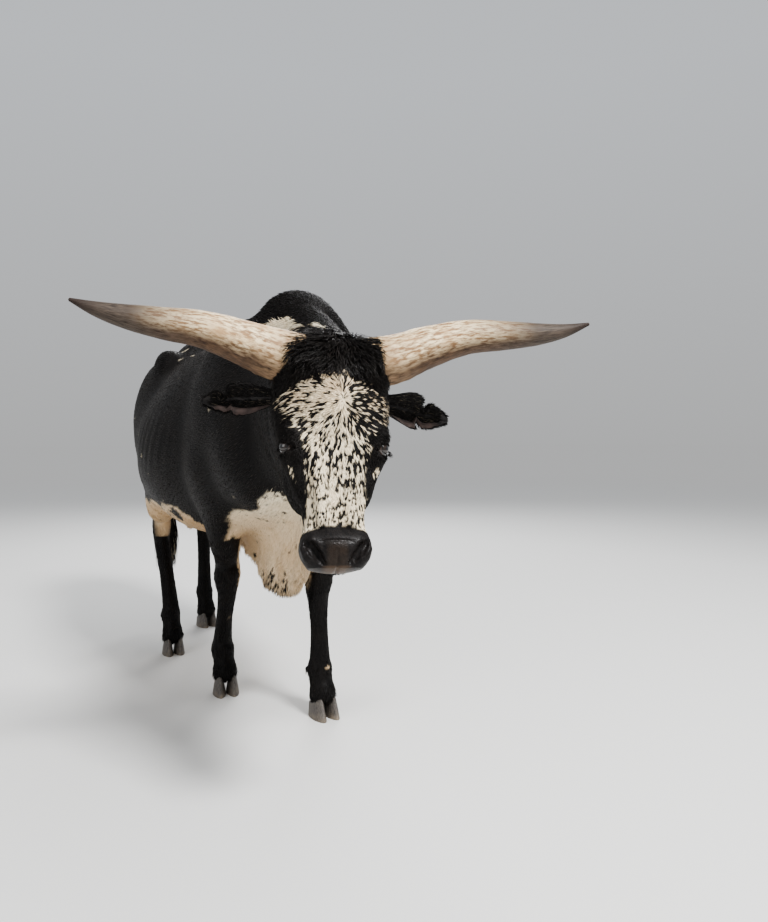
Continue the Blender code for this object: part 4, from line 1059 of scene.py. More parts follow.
# Eyes. Wet brown-black balls set between the lids, each with a low clear bulge in front and
# a level pupil.
BULGE = 0.0011
BULGE_SPREAD = 0.6
EYE_SLACK = 0.0003
PUPIL_HALF = (0.0078, 0.0048)
IRIS_RADIUS = 0.0145
SIDES = ((1, "left"), (-1, "right"))


def eye_shell(name, side):
    """Ball of radius R + bulge e^-(angle from the gaze / spread)^2, on a grid of two angles."""
    polar = np.linspace(0.0, math.pi, 41)
    turn = np.linspace(0.0, math.tau, 57)[:-1]
    t, f = np.meshgrid(polar, turn, indexing="ij")
    r = EYE_RADIUS - EYE_SLACK + BULGE * np.exp(-(t / BULGE_SPREAD) ** 2)
    a = r * np.sin(t) * np.cos(f)
    o = r * np.sin(t) * np.sin(f)
    g = r * np.cos(t)
    flat = np.stack([a, o, g], -1).reshape(-1, 3)
    local = flat @ EYE_FRAME + np.array(EYE)
    local[:, 0] *= side
    n = len(turn)
    i, k = np.meshgrid(np.arange(1, len(polar) - 2), np.arange(n), indexing="ij")
    one = (i * n + k).ravel()
    two = (i * n + (k + 1) % n).ravel()
    quads = np.stack([one, one + n, two + n, two], 1)
    ring = np.arange(n)
    last = (len(polar) - 2) * n
    first = np.stack([np.zeros(n, int), n + ring, n + (ring + 1) % n], 1)
    end = np.stack([last + ring, np.full(n, last + n), last + (ring + 1) % n], 1)
    used = np.concatenate([[0], np.arange(n, last + n + 1)])
    order = np.full(len(flat), -1)
    order[used] = np.arange(len(used))
    quads, first, end = order[quads], order[first], order[end]
    if side < 0:
        quads, first, end = quads[:, ::-1], first[:, ::-1], end[:, ::-1]
    made = piece(name, from_head(local[used]) + PLACE, quads, np.concatenate([first, end]))
    a, o, g = flat[used].T
    ahead = g > 0.0
    slit = np.sqrt((a / PUPIL_HALF[0]) ** 2 + (o / PUPIL_HALF[1]) ** 2)
    store(made, pupil=np.where(ahead, slit, 3.0),
          iris=np.where(ahead, np.sqrt(a * a + o * o) / IRIS_RADIUS, 2.0))
    return made


IRIS_DARK = (0.008, 0.0045, 0.003, 1)
IRIS_BROWN = (0.026, 0.013, 0.007, 1)
IRIS_RIM = (0.006, 0.004, 0.003, 1)
EYE_WHITE = (0.060, 0.042, 0.034, 1)
PUPIL_BLACK = (0.002, 0.002, 0.003, 1)


def eye_look():
    """Wet eye: a level pupil, a brown iris with a dark rim, and dull brown round it."""
    look = Tree("eye_wet")
    fibre = look.grain(420.0, 3.0)
    iris = look.attribute("iris")
    brown = look.mix(look.ramp(fibre, 0.3, 0.7), IRIS_DARK, IRIS_BROWN)
    rim = look.mix(look.ramp(iris, 0.72, 0.98), brown, IRIS_RIM)
    ball = look.mix(look.ramp(iris, 1.0, 1.12), rim, EYE_WHITE)
    colour = look.mix(look.ramp(look.attribute("pupil"), 0.90, 1.08), PUPIL_BLACK, ball)
    return look.finish(Base_Color=colour, Roughness=look.sum("MULTIPLY_ADD", fibre, 0.06, 0.04),
                       Coat_Weight=0.8, Coat_Roughness=0.03)


EYE_LOOK = eye_look()
for side, word in SIDES:
    eye = eye_shell("eyeball_" + word, side)
    eye.data.materials.append(EYE_LOOK)
    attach(eye, "root")
    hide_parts("eye_" + word)

# Horns. Hollow sheaths of keratin over bone, cream with tan fibres that cross each other,
# rough and ringed where they leave the hair, worn smooth and dark at the tip.
HORN_GRID = (230, 72)
HORN_ROOT = (0.082, 0.050, -0.040)
HORN_FORWARD = 0.045
HORN_REACH = {1: 0.618, -1: 0.572}
HORN_T = (0.0, 0.12, 0.28, 0.45, 0.62, 0.78, 0.90, 1.0)
HORN_RADIUS = (0.067, 0.064, 0.054, 0.045, 0.038, 0.028, 0.017, 0.004)
HORN_RISE = {1: (0.0, 0.014, 0.047, 0.073, 0.080, 0.086, 0.097, 0.114),
             -1: (0.003, 0.015, 0.038, 0.058, 0.064, 0.072, 0.083, 0.097)}
FIBRE_TURN = ((1, 0, 0.9), (0, 1, 0.9), (0, 0, 3.0))


def tube_faces(rings, sides):
    """Quads of a tube of rings, and the triangles that close it on its first and last point."""
    i, k = np.meshgrid(np.arange(rings - 1), np.arange(sides), indexing="ij")
    one = (i * sides + k).ravel()
    two = (i * sides + (k + 1) % sides).ravel()
    quads = np.stack([one, one + sides, two + sides, two], 1)
    ring = np.arange(sides)
    after = (ring + 1) % sides
    last = (rings - 1) * sides
    start = np.full(sides, rings * sides)
    caps = np.concatenate([np.stack([start, ring, after], 1),
                           np.stack([start + 1, last + after, last + ring], 1)])
    return quads, caps


def tube_points(path, radius, flat, up):
    """Rings round a path, squeezed by flat along up; radius is one row of values per ring."""
    along = unit(np.gradient(path, axis=0))
    across = unit(np.cross(along, up))
    over = np.cross(across, along)
    angle = np.linspace(0.0, math.tau, radius.shape[1] + 1)[:-1]
    ring = (np.cos(angle)[None, :, None] * across[:, None]
            + flat * np.sin(angle)[None, :, None] * over[:, None])
    points = path[:, None] + radius[:, :, None] * ring
    tip = path[-1:] + along[-1:] * radius[-1, 0] * 0.6
    return np.concatenate([points.reshape(-1, 3), path[:1], tip])


def horn_sheath(name, side):
    """Tube along the horn's curve; the wall is raised by crossing fibres and rings at its base.

    At share t it is out by root + (reach - root) t and back by b - b sin(pi t / 2) less a
    share of t cubed; its rise and radius are curves of t.
    """
    rings, sides = HORN_GRID
    t = np.linspace(0.0, 1.0, rings)
    path = np.stack([side * (HORN_ROOT[0] + (HORN_REACH[side] - HORN_ROOT[0]) * t),
                     HORN_ROOT[1] * (1.0 - np.sin(math.pi * t * 0.5)) - HORN_FORWARD * t ** 3,
                     HORN_ROOT[2] + curve(t, HORN_T, HORN_RISE[side])], 1)
    level = np.array(head_matrix(slope=0.0))
    path = path @ level[:3, :3].T + level[:3, 3]
    angle = np.linspace(0.0, math.tau, sides + 1)[:-1]
    tt, aa = np.meshgrid(t, angle, indexing="ij")
    base = curve(t, HORN_T, HORN_RADIUS)[:, None]
    round_way = np.stack([np.cos(aa), np.sin(aa), tt], -1).reshape(-1, 3)
    fibre = noise(round_way * (1.0, 1.0, 2.2), 0.085, 101)
    fibre = fibre + noise(round_way * (1.0, 1.0, 9.0), 0.30, 102)
    cross = noise(round_way @ np.array(FIBRE_TURN).T, 0.12, 103)
    grain = (fibre + cross - 1.5).reshape(tt.shape)
    rough = 1.0 - smooth(tt, 0.14, 0.42)
    wear = 1.0 - smooth(tt, 0.70, 0.95)
    ring_wave = np.sin(tt * 120.0 + 9.0 * noise(round_way, 0.5, 104).reshape(tt.shape))
    wall = base + grain * (0.0007 + 0.0013 * rough) * wear + 0.0004 * rough * ring_wave
    wall += 0.0024 * (noise(round_way, 0.9, 105).reshape(tt.shape) - 0.5) * wear
    points = tube_points(path, wall, 0.94, np.array((0.0, 0.0, 1.0)))
    quads, caps = tube_faces(rings, sides)
    made = piece(name, points + PLACE, quads, caps)
    ends = [0.0, 1.0]
    # under: how far each point of the wall faces down; horn_look paints brown shade there.
    store(made, along=np.concatenate([tt.ravel(), ends]),
          under=np.concatenate([-np.sin(aa).ravel(), [0.0, 0.0]]))
    layer = made.data.uv_layers.new(name="grain")
    corners = np.empty(len(made.data.loops), np.int32)
    made.data.loops.foreach_get("vertex_index", corners)
    u = np.concatenate([(aa / math.tau).ravel(), [0.5, 0.5]])
    v = np.concatenate([tt.ravel(), ends])
    uv = np.stack([u[corners], v[corners]], 1)
    wrap = uv[:len(quads) * 4].reshape(-1, 4, 2)
    seam = wrap[:, :, 0].max(1) - wrap[:, :, 0].min(1) > 0.5
    wrap[seam, :, 0] = np.where(wrap[seam, :, 0] < 0.5, wrap[seam, :, 0] + 1.0, wrap[seam, :, 0])
    uv[:len(quads) * 4] = wrap.reshape(-1, 2)
    layer.data.foreach_set("uv", uv.astype(np.float32).ravel())
    return made


def outward(made):
    """Turn the faces of a closed piece outwards."""
    work = bmesh.new()
    work.from_mesh(made.data)
    bmesh.ops.recalc_face_normals(work, faces=work.faces)
    if work.calc_volume(signed=True) < 0.0:
        bmesh.ops.reverse_faces(work, faces=work.faces)
    work.to_mesh(made.data)
    work.free()


HORN_FIBRE = (0.25, 0.145, 0.074, 1)
HORN_CREAM = (0.84, 0.69, 0.45, 1)
HORN_TAN = (0.50, 0.33, 0.18, 1)
# Painted shade of the horns' undersides, from dark to brown.
UNDER_SHADE_DARK = (0.036, 0.020, 0.012, 1)
UNDER_SHADE_BROWN = (0.145, 0.085, 0.048, 1)
ROOT_TAN = (0.36, 0.24, 0.14, 1)
SMOKE_DARK = (0.026, 0.019, 0.015, 1)
SMOKE_PALE = (0.110, 0.085, 0.066, 1)
TIP_BLACK = (0.030, 0.019, 0.015, 1)
LONG_FIBRES = (34.0, 10.0, 1.0)
CROSS_FIBRES = (50.0, 24.0, 1.0)
CROSS_TURN = (0.0, 0.0, 0.42)


def horn_look():
    """Keratin: cream woven with tan fibres, painted brown shade beneath, tan at the root, dark at the
    tip.
    """
    look = Tree("horn_keratin")
    where = look.attribute("along")
    flow = look.node("UVMap", set_uv_map="grain").outputs["UV"]
    long_fibre = look.grain(1.0, 7.0, LONG_FIBRES, flow, 0.74)
    turned = look.node("Mapping", Vector=flow, Rotation=CROSS_TURN, Scale=CROSS_FIBRES)
    cross_fibre = look.grain(1.0, 4.0, None, turned.outputs["Vector"], 0.6)
    weave = look.sum("ADD", look.sum("MULTIPLY", long_fibre, 0.55),
                     look.sum("MULTIPLY", cross_fibre, 0.45))
    cream = look.mix(look.ramp(weave, 0.45, 0.555), HORN_FIBRE, HORN_CREAM)
    patch = look.grain(14.0, 3.0)
    cream = look.mix(look.ramp(patch, 0.50, 0.78), cream, HORN_TAN)
    # Painted shade: the side that faces down, broken up by the patches, is mixed to dark brown.
    under = look.sum("ADD", look.attribute("under"), look.sum("MULTIPLY", patch, 0.5))
    brown = look.mix(look.ramp(weave, 0.40, 0.60), UNDER_SHADE_DARK, UNDER_SHADE_BROWN)
    sides = look.mix(look.ramp(under, 0.36, 0.95), cream, brown)
    root_share = look.sum("SUBTRACT", 1.0, look.ramp(where, 0.10, 0.22), clamp=True)
    root_share = look.sum("MULTIPLY", root_share, look.ramp(cross_fibre, 0.30, 0.75))
    sides = look.mix(root_share, sides, ROOT_TAN)
    smoke = look.mix(look.ramp(weave, 0.40, 0.60), SMOKE_DARK, SMOKE_PALE)
    edge = look.sum("ADD", where, look.sum("MULTIPLY", weave, 0.5))
    tone = look.mix(look.ramp(edge, 0.66, 1.02), sides, smoke)
    return look.finish(Base_Color=look.mix(look.ramp(edge, 1.13, 1.24), tone, TIP_BLACK),
                       Roughness=look.sum("MULTIPLY_ADD", weave, 0.30, 0.44),
                       Specular_IOR_Level=0.25, Normal=look.bump(weave, 0.0016, 0.7))


HORN_LOOK = horn_look()
for side, word in SIDES:
    horn = horn_sheath("horn_sheath_" + word, side)
    outward(horn)
    horn.data.materials.append(HORN_LOOK)
    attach(horn, "root")
    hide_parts("horn_" + word)

# Ears. Cupped leaves of gristle under thin skin, nearly tubes where they leave the head, with
# old tears in both edges and folds along the inside of the cup.
EAR_LENGTH = {1: 0.262, -1: 0.238}
EAR_WIDTH = {1: 0.050, -1: 0.046}
LEAF_U = (0, 0.2, 0.5, 0.72, 0.90, 1.0)
LEAF_SHARE = (0.78, 0.95, 1.12, 0.86, 0.46, 0.15)
WRAP_U = (0, 0.25, 0.6, 1.0)
WRAP_ANGLE = (2.5, 1.7, 1.05, 0.7)
TORN_TOP = {1: (0.74, 0.040, 0.66), -1: (0.80, 0.045, 0.86)}
TORN_LOW = {1: (0.66, 0.035, 0.58), -1: (0.70, 0.030, 0.34)}
EAR_ROOT = (0.098, 0.100, -0.103)
EAR_SAG = (0, 0, -0.012)
EAR_WALL = 0.0052
EAR_GRID = (90, 49)


def ear_frame(side):
    """Directions of an ear in the head's frame: out along it, its open face, and its width."""
    out = np.array((side * 0.86, 0.44, 0.10 - 0.06 * side))
    out /= np.linalg.norm(out)
    face = np.array((side * 0.30, -0.90, -0.32))
    face -= face @ out * out
    face /= np.linalg.norm(face)
    return out, face, np.cross(face, out) * side


def ear_wall(side, u, v, depth):
    """Points of the ear's wall: an arc of angle v * wrap about a line, drawn in by the depth.

    u runs from root to tip, v across from the lower (-1) to the upper edge (1); tears and
    small nicks shorten the arc, and folds raise the inside.
    """
    out, face, high = ear_frame(side)
    width = EAR_WIDTH[side] * curve(u, LEAF_U, LEAF_SHARE)
    wrap = curve(u, WRAP_U, WRAP_ANGLE)
    at = np.stack([u * 9.0, np.full(len(u), side * 3.0), v * 0.6], 1)
    nick = 0.16 * (noise(at, 0.30, 111) - 0.5) * smooth(u, 0.30, 0.65)
    tear, spread, cut = TORN_TOP[side]
    top = 1.0 - cut * np.exp(-((u - tear) / spread) ** 2) + nick
    tear, spread, cut = TORN_LOW[side]
    low = 1.0 - cut * np.exp(-((u - tear) / spread) ** 2) - nick
    angle = v * wrap * np.where(v > 0, top, low)
    radius = width / wrap
    fold = 0.0021 * np.cos(v * 9.5 + 0.6 * side)
    fold = fold * smooth(u, 0.1, 0.3) * (1.0 - smooth(u, 0.75, 0.95))
    thick = (EAR_WALL * (1.0 - 0.35 * u) + fold) * depth + 0.0006 * (1.0 - depth)
    edge = smooth(np.abs(v), 0.86, 1.0)
    thick = thick * (1.0 - 0.55 * edge * depth)
    centre = (np.array(EAR_ROOT) * (side, 1, 1) + out * (EAR_LENGTH[side] * u)[:, None]
              + np.array(EAR_SAG) * (u ** 2)[:, None])
    place = high * np.sin(angle)[:, None] - face * np.cos(angle)[:, None]
    return centre + place * (radius - thick)[:, None] + face * (radius * 0.35)[:, None]


def ear_leaf(name, side):
    """Closed ear from an outer and an inner wall joined round their rim."""
    m, n = EAR_GRID
    u, v = np.meshgrid(np.linspace(0, 1, m), np.linspace(-1, 1, n), indexing="ij")
    u, v = u.ravel(), v.ravel()
    points = np.concatenate([ear_wall(side, u, v, 0.0), ear_wall(side, u, v, 1.0)])
    i, k = np.meshgrid(np.arange(m - 1), np.arange(n - 1), indexing="ij")
    a = (i * n + k).ravel()
    size = m * n
    outer = np.stack([a, a + 1, a + n + 1, a + n], 1)
    inner = np.stack([a, a + n, a + n + 1, a + 1], 1) + size
    rim = np.concatenate([np.arange(m) * n, (m - 1) * n + np.arange(1, n),
                          np.arange(m - 2, -1, -1) * n + n - 1, np.arange(n - 2, 0, -1)])
    after = np.roll(rim, -1)
    join = np.stack([rim, after, after + size, rim + size], 1)
    made = piece(name, from_head(points) + PLACE, outer, inner, join)
    outward(made)
    u2 = np.concatenate([u, u])
    v2 = np.concatenate([v, v])
    inside = np.concatenate([np.zeros(size), np.ones(size)])
    ridge = smooth(-v2, 0.05, 0.75) * smooth(u2, 0.10, 0.35) * (1.0 - smooth(u2, 0.80, 0.95))
    speck = noise(points, 0.012, 113)
    store(made, pink=inside * ridge * (0.35 + 0.65 * speck), bare=inside, white=np.zeros(2 * size),
          warm=np.zeros(2 * size), shade=0.3 + 0.4 * speck)
    return made


CUP_DARK = (0.0065, 0.0056, 0.0056, 1)
CUP_GREY = (0.022, 0.017, 0.016, 1)
CUP_PINK = (0.125, 0.086, 0.074, 1)


def ear_look():
    """Black hair outside, and grained grey skin with pinkish folds inside the cup."""
    look = Tree("ear_skin")
    skin = look.mix(look.ramp(look.grain(90.0, 4.0), 0.3, 0.7), CUP_DARK, CUP_GREY)
    inner = look.mix(look.attribute("pink"), skin, CUP_PINK)
    return look.finish(Base_Color=look.mix(look.attribute("bare"), hair_colour(look), inner),
                       Roughness=0.50, Specular_IOR_Level=0.3, Sheen_Weight=0.08,
                       Normal=look.bump(look.grain(160.0, 4.0), 0.0010, 0.6))


EAR_LOOK = ear_look()
for side, word in SIDES:
    ear = ear_leaf("ear_leaf_" + word, side)
    ear.data.materials.append(EAR_LOOK)
    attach(ear, "root")
    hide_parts("ear_" + word)

# Claws. Two horn capsules to each foot, grown down from the coronet in rings, grey with
# paler streaks, worn flat underneath where they stand.
CLAW_HEIGHT = 0.066
CLAW_LENGTH = 0.108
CLAW_WIDTH = 0.044
CLAW_GAP = 0.0024
CLAW_GRID = (22, 48)
TOE_OUT = 5.0
FORE_TURN = -6.0


def claw_shell(name, leg_name, which):
    """Grid of angle and height: the wall leans in by the inset curve and the top is rounded in."""
    foot = FEET[leg_name][0]
    turn = math.radians(math.copysign(TOE_OUT, foot[0]))
    if leg_name.startswith("fore"):
        turn += math.radians(FORE_TURN)
    rings, sides = CLAW_GRID
    level = np.concatenate([[0.0, 0.0, 0.02], np.linspace(0.06, 1.0, rings - 3)])
    share, angle = np.meshgrid(level, np.linspace(0, math.tau, sides + 1)[:-1], indexing="ij")
    x = np.sin(angle)
    y = -np.cos(angle)
    inset = curve(share.ravel(), (0.0, 0.45, 1.0), (0.0, 0.0035, 0.0085)).reshape(share.shape)
    inset = inset + 0.0012 * (np.arange(rings) == 0)[:, None] + 0.0040 * smooth(share, 0.90, 1.0)
    length = CLAW_LENGTH / 2.0 - inset * np.where(y < 0, 2.2, 0.3)
    wide = CLAW_WIDTH / 2.0 - inset
    top = CLAW_HEIGHT * (0.80 - 0.26 * y)
    growth = 0.00035 * np.sin(share * 55.0 + 2.0 * np.sin(angle)) * smooth(share, 0.05, 0.2)
    px = x * (wide + growth) * (1.0 - 0.22 * np.maximum(-y, 0.0) ** 2)
    py = y * (length + growth) + inset * 0.9
    pz = share * top
    points = np.stack([px, py, pz], -1).reshape(-1, 3)
    ends = np.array(((0.0, 0.0, 0.0), (0.0, 0.008, CLAW_HEIGHT * 0.83)))
    aside = which * (CLAW_WIDTH + CLAW_GAP) / 2.0
    points = np.concatenate([points, ends]) + np.array((aside, 0, 0))
    c, s = math.cos(turn), math.sin(turn)
    points = points @ np.array(((c, s, 0), (-s, c, 0), (0, 0, 1))) + np.array((*foot, 0.0))
    quads, caps = tube_faces(rings, sides)
    made = piece(name, points + PLACE, quads, caps)
    outward(made)
    store(made, height=np.concatenate([share.ravel(), [0.0, 1.0]]))
    return made


HOOF_DARK = (0.040, 0.036, 0.034, 1)
HOOF_PALE = (0.165, 0.145, 0.125, 1)
HOOF_DUST = (0.24, 0.19, 0.135, 1)
HOOF_FIBRES = (420.0, 420.0, 25.0)


def hoof_look():
    """Grey horn with upright fibres and level rings, and pale dust low on the wall."""
    look = Tree("hoof_horn")
    rings = look.node("TexWave", Vector=look.node("TexCoord").outputs["Object"], Scale=55.0,
                      Distortion=2.5, set_bands_direction="Z")
    streak = look.grain(1.0, 4.0, HOOF_FIBRES)
    grey = look.mix(look.ramp(streak, 0.35, 0.70), HOOF_DARK, HOOF_PALE)
    dusty = look.mix(look.ramp(look.attribute("height"), 0.05, 0.45), HOOF_DUST, grey)
    dust_share = look.sum("MULTIPLY", look.ramp(look.grain(60.0, 3.0), 0.35, 0.75), 0.8)
    fibres = look.bump(streak, 0.0008, 0.6)
    return look.finish(Base_Color=look.mix(dust_share, grey, dusty),
                       Roughness=look.sum("MULTIPLY_ADD", streak, 0.3, 0.38),
                       Normal=look.bump(rings.outputs["Fac"], 0.0008, 0.5, fibres))


HOOF_LOOK = hoof_look()
for leg_name, (foot, *_) in FEET.items():
    for which in (-1, 1):
        label = leg_name.replace("leg", "claw") + ("_outer" if which * foot[0] > 0 else "_inner")
        claw = claw_shell(label + "_horn", leg_name, which)
        claw.data.materials.append(HOOF_LOOK)
        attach(claw, "root")
        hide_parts(label)

# Face and cheeks. Fine glossy hair about a centimetre long that lies close to the skin and
# runs out of the whorl. Like all the coat, it is overlapping closed tufts rooted in the hide.
TRIES = 4.0
CELL = 1.2
KEY_MIX = (73856093, 19349663, 83492791)


def roots_on(made, spacing, wanted, seed):
    """Places and normals on a piece, about one to each cell of the spacing.

    Random points are taken in proportion to area, those not wanted are dropped, and one is
    kept in each cube that is a little wider than the spacing.
    """
    mesh = made.data
    mesh.calc_loop_triangles()
    corner = np.empty(len(mesh.loop_triangles) * 3, np.int32)
    mesh.loop_triangles.foreach_get("vertices", corner)
    corner = corner.reshape(-1, 3)
    place, normal = points_of(made)
    place = place - PLACE
    keep = wanted(place[corner].mean(1))
    corner = corner[keep]
    a, b, c = (place[corner[:, k]] for k in range(3))
    area = np.linalg.norm(np.cross(b - a, c - a), axis=1) / 2.0
    rng = np.random.default_rng(seed)
    count = int(TRIES * area.sum() / spacing ** 2)
    pick = rng.choice(len(area), count, p=area / area.sum())
    r1 = np.sqrt(rng.random(count))[:, None]
    r2 = rng.random(count)[:, None]
    share = (1.0 - r1, r1 * (1.0 - r2), r1 * r2)
    root = sum(s * v[pick] for s, v in zip(share, (a, b, c)))
    out = unit(sum(s * normal[corner[pick, k]] for k, s in enumerate(share)))
    flag = wanted(root)
    root, out = root[flag], out[flag]
    cell = np.floor(root / (spacing * CELL)).astype(np.int64) * KEY_MIX
    key = cell[:, 0] ^ cell[:, 1] ^ cell[:, 2]
    _, first = np.unique(key, return_index=True)
    first.sort()
    return root[first], out[first]


def combed(root, out, stray, seed):
    """Lie of the hair along the surface at its roots, turned a little by chance."""
    way = laid_flat(lie(root), out)
    side = np.cross(out, way)
    turn = stray * (np.random.default_rng(seed).random(len(root)) * 2.0 - 1.0)
    turn += 0.35 * stray * (noise(root, 0.03, seed) * 2.0 - 1.0)
    return way * np.cos(turn)[:, None] + side * np.sin(turn)[:, None]


def head_wrap(p):
    """Unwrap of the head: angle round its long axis, and height along it."""
    q = to_head(p)
    return np.stack([np.arctan2(q[:, 0], 0.10 - q[:, 1]), q[:, 2]], 1)


def body_wrap(p):
    """Unwrap of the trunk: angle round its length, and place along it."""
    return np.stack([np.arctan2(p[:, 0], p[:, 2] - 0.92), p[:, 1]], 1)


def leg_wrap(p):
    """Unwrap of the four legs side by side: angle round each in its own strip, and height."""
    feet = np.array([FEET[name][0] for name in FEET])
    middle = np.array([np.array(FEET[name][2])[:2] for name in FEET])
    which = np.argmin(np.abs(p[:, None, 1] - middle[None, :, 1]) * 0.5
                      + np.abs(p[:, None, 0] - middle[None, :, 0]), axis=1)
    share = np.clip(p[:, 2] / 0.45, 0.0, 1.0)[:, None]
    centre = feet[which] * (1.0 - share) + middle[which] * share
    angle = np.arctan2(p[:, 0] - centre[:, 0], p[:, 1] - centre[:, 1]) / math.tau + 0.5
    return np.stack([which + 0.04 + 0.92 * angle, p[:, 2]], 1)


HAIR_SHINE = hair_look("coat_hair")
PIECE_TRIANGLES = 190000.0
TAPER_AT = (0.0, 0.35, 0.7, 1.0)
TAPER = (0.75, 1.0, 0.72, 0.15)
SUNK = 0.45
SWAY_TURN = 4.5
MARK_AT = 0.6
TIP_LIGHT = 0.22
UV_MARGIN = 0.012
TUFT_UV = 0.003


def tuft_faces(rings):
    """Triangles of one tuft: its closed root, a band between rings, and its point."""
    faces = [(0, 2, 1)]
    for b in range(0, 3 * rings - 3, 3):
        for one, two in ((0, 1), (1, 2), (2, 0)):
            faces += [(b + one, b + two, b + 3 + two), (b + one, b + 3 + two, b + 3 + one)]
    tip = 3 * rings
    b = tip - 3
    faces += [(b, b + 1, tip), (b + 1, b + 2, tip), (b + 2, b, tip)]
    return np.array(faces)


def fit_square(flat):
    """Unwrap stretched to fill the unit square but for a margin."""
    low, high = flat.min(0), flat.max(0)
    return UV_MARGIN + (1.0 - 2.0 * UV_MARGIN) * (flat - low) / (high - low + 1e-9)


def coat(name, root, out, along, length, width, rise, droop, wrap, rings=2, wave=0.03,
         white=None, warm=None, look=HAIR_SHINE, slot="coat"):
    """Tufts as closed three-sided spindles, in pieces small enough to keep whole.

    At share t of its length a tuft's middle is root + along L t + out L (rise t - droop t^2)
    plus a sideways wave; its half-width is width times a taper of t, its height nearly that.
    """
    count = len(root)
    rng = np.random.default_rng(len(name) * 7 + count)
    length = np.broadcast_to(length, count) * (0.75 + 0.5 * rng.random(count))
    width = np.broadcast_to(width, count) * (0.8 + 0.4 * rng.random(count))
    rise = np.broadcast_to(rise, count) * (0.6 + 0.8 * rng.random(count))
    droop = np.broadcast_to(droop, count)
    wave = wave * (rng.random(count) * 2.0 - 1.0)
    phase = rng.random(count) * math.tau
    side = unit(np.cross(along, out))
    share = np.linspace(0.0, 1.0, rings + 1)[:-1]
    rows = []
    for t, thick in zip(share, np.interp(share, TAPER_AT, TAPER)):
        bend = wave * np.sin(phase + SWAY_TURN * t) - wave * np.sin(phase)
        middle = (root + along * (length * t)[:, None] + side * (length * bend)[:, None]
                  + out * (length * (rise * t - droop * t * t) - width * SUNK)[:, None])
        for k, h in ((-1.0, 0.0), (1.0, 0.0), (0.0, 0.95)):
            rows.append(middle + side * (k * width * thick)[:, None]
                        + out * (h * width * thick)[:, None])
    bend = wave * np.sin(phase + SWAY_TURN) - wave * np.sin(phase)
    rows.append(root + along * length[:, None] + side * (length * bend)[:, None]
                + out * (length * (rise - droop))[:, None])
    points = np.stack(rows, 1)
    per = len(rows)
    faces = tuft_faces(rings)
    shown = root + along * (length * MARK_AT)[:, None]
    white = white_share(shown) if white is None else np.broadcast_to(white, count)
    warm = warm_share(shown) if warm is None else np.broadcast_to(warm, count)
    shade = 0.15 + 0.75 * rng.random(count)
    tip_light = np.append(np.repeat(share, 3), 1.0) * TIP_LIGHT
    flat = fit_square(wrap(root))
    patch = np.stack([np.append(np.repeat(share, 3) - 0.5, 0.5),
                      np.append(np.tile((-0.5, 0.5, 0.0), rings), 0.0)], 1) * TUFT_UV
    parts = int(math.ceil(count * len(faces) / PIECE_TRIANGLES))
    made_parts = []
    order = np.argsort(flat[:, 1], kind="stable")
    for n, chosen in enumerate(np.array_split(order, parts)):
        label = name if parts == 1 else "%s_%d" % (name, n + 1)
        corners = (faces[None] + per * np.arange(len(chosen))[:, None, None]).reshape(-1, 3)
        made = piece(label, points[chosen].reshape(-1, 3) + PLACE, corners)
        store(made, white=np.repeat(white[chosen], per), warm=np.repeat(warm[chosen], per),
              shade=(shade[chosen][:, None] + tip_light).ravel())
        local = fit_square(flat[chosen]) if parts > 1 else flat[chosen]
        uv = (local[:, None] + patch).reshape(-1, 2)[corners.ravel()]
        layer = made.data.uv_layers.new(name="OFBake")
        layer.data.foreach_set("uv", uv.astype(np.float32).ravel())
        made.data.materials.append(look)
        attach(made, "root")
        made_parts.append(made)
    return made_parts


def grow(name, spacing, ground, seed, stray, **form):
    """Coat of one kind on its ground: rooted on the hide and lying the way the hair lies."""
    root, out = roots_on(hide, spacing, ground, seed)
    return coat(name, root, out, combed(root, out, stray, seed + 1), **form)


def open_eye(p):
    """Room left free of hair over the eyes' openings."""
    q = to_head(p)
    a, o, g = eye_axes(q)
    return (np.abs(a) < 0.024) & (np.abs(o) < 0.0125) & (g > 0.0)


def haired_head(p):
    """Ground of the head's short hair: all but the bare nose, the lips and the eyes."""
    q = to_head(p)
    lips = (-q[:, 2] > 0.500) & (q[:, 1] < 0.10)
    return (on_head(q) > 0.5) & (bare_share(p) < 0.4) & ~open_eye(p) & ~lips


def brow_or_poll(q):
    """Ground that the shaggy hair of the poll covers."""
    edge = 0.074 + 0.42 * np.maximum(np.abs(q[:, 0] - 0.005) - 0.050, 0.0)
    edge = edge - 0.8 * np.maximum(q[:, 1] - 0.045, 0.0)
    return (-q[:, 2] < edge) & (np.abs(q[:, 0]) < 0.135) & (q[:, 1] < 0.15)


def face_ground(p):
    """Front of the face, up to a little under the poll's hair."""
    q = to_head(p)
    return haired_head(p) & (q[:, 1] < 0.062) & ~(brow_or_poll(q) & (-q[:, 2] < 0.06))


def side_ground(p):
    """Cheeks, jaw and the back of the head."""
    q = to_head(p)
    return haired_head(p) & (q[:, 1] >= 0.062) & ~brow_or_poll(q)


root, out = roots_on(hide, 0.0026, face_ground, 201)
q = to_head(root)
near_nose = smooth(-q[:, 2], 0.30, 0.43)
temple = smooth(np.abs(q[:, 0]), 0.088, 0.112) * (1.0 - smooth(-q[:, 2], 0.19, 0.24))
brow = 1.0 - smooth(-q[:, 2], 0.20, 0.28)
coat("face_hair", root, out, combed(root, out, 0.14 + 0.16 * temple, 202),
     length=0.0105 + 0.0025 * brow - 0.0045 * near_nose + 0.006 * temple,
     width=0.00115 - 0.0002 * near_nose, rise=0.13 + 0.30 * temple + 0.05 * brow,
     droop=0.09 + 0.12 * temple, wrap=head_wrap, wave=0.04)
grow("cheek_hair", 0.0040, side_ground, 203, 0.22, length=0.0135, width=0.0011, rise=0.12,
     droop=0.08, wrap=head_wrap)

# Poll. Long black shaggy hair, matted into wavy locks, that falls outwards from a parting
# over the brow. It grows from the skin between the horns and hides their roots' inner sides.
HAIR_SHAG = hair_look("poll_hair", 0.42, 0.05)
PARTING_X = 0.020


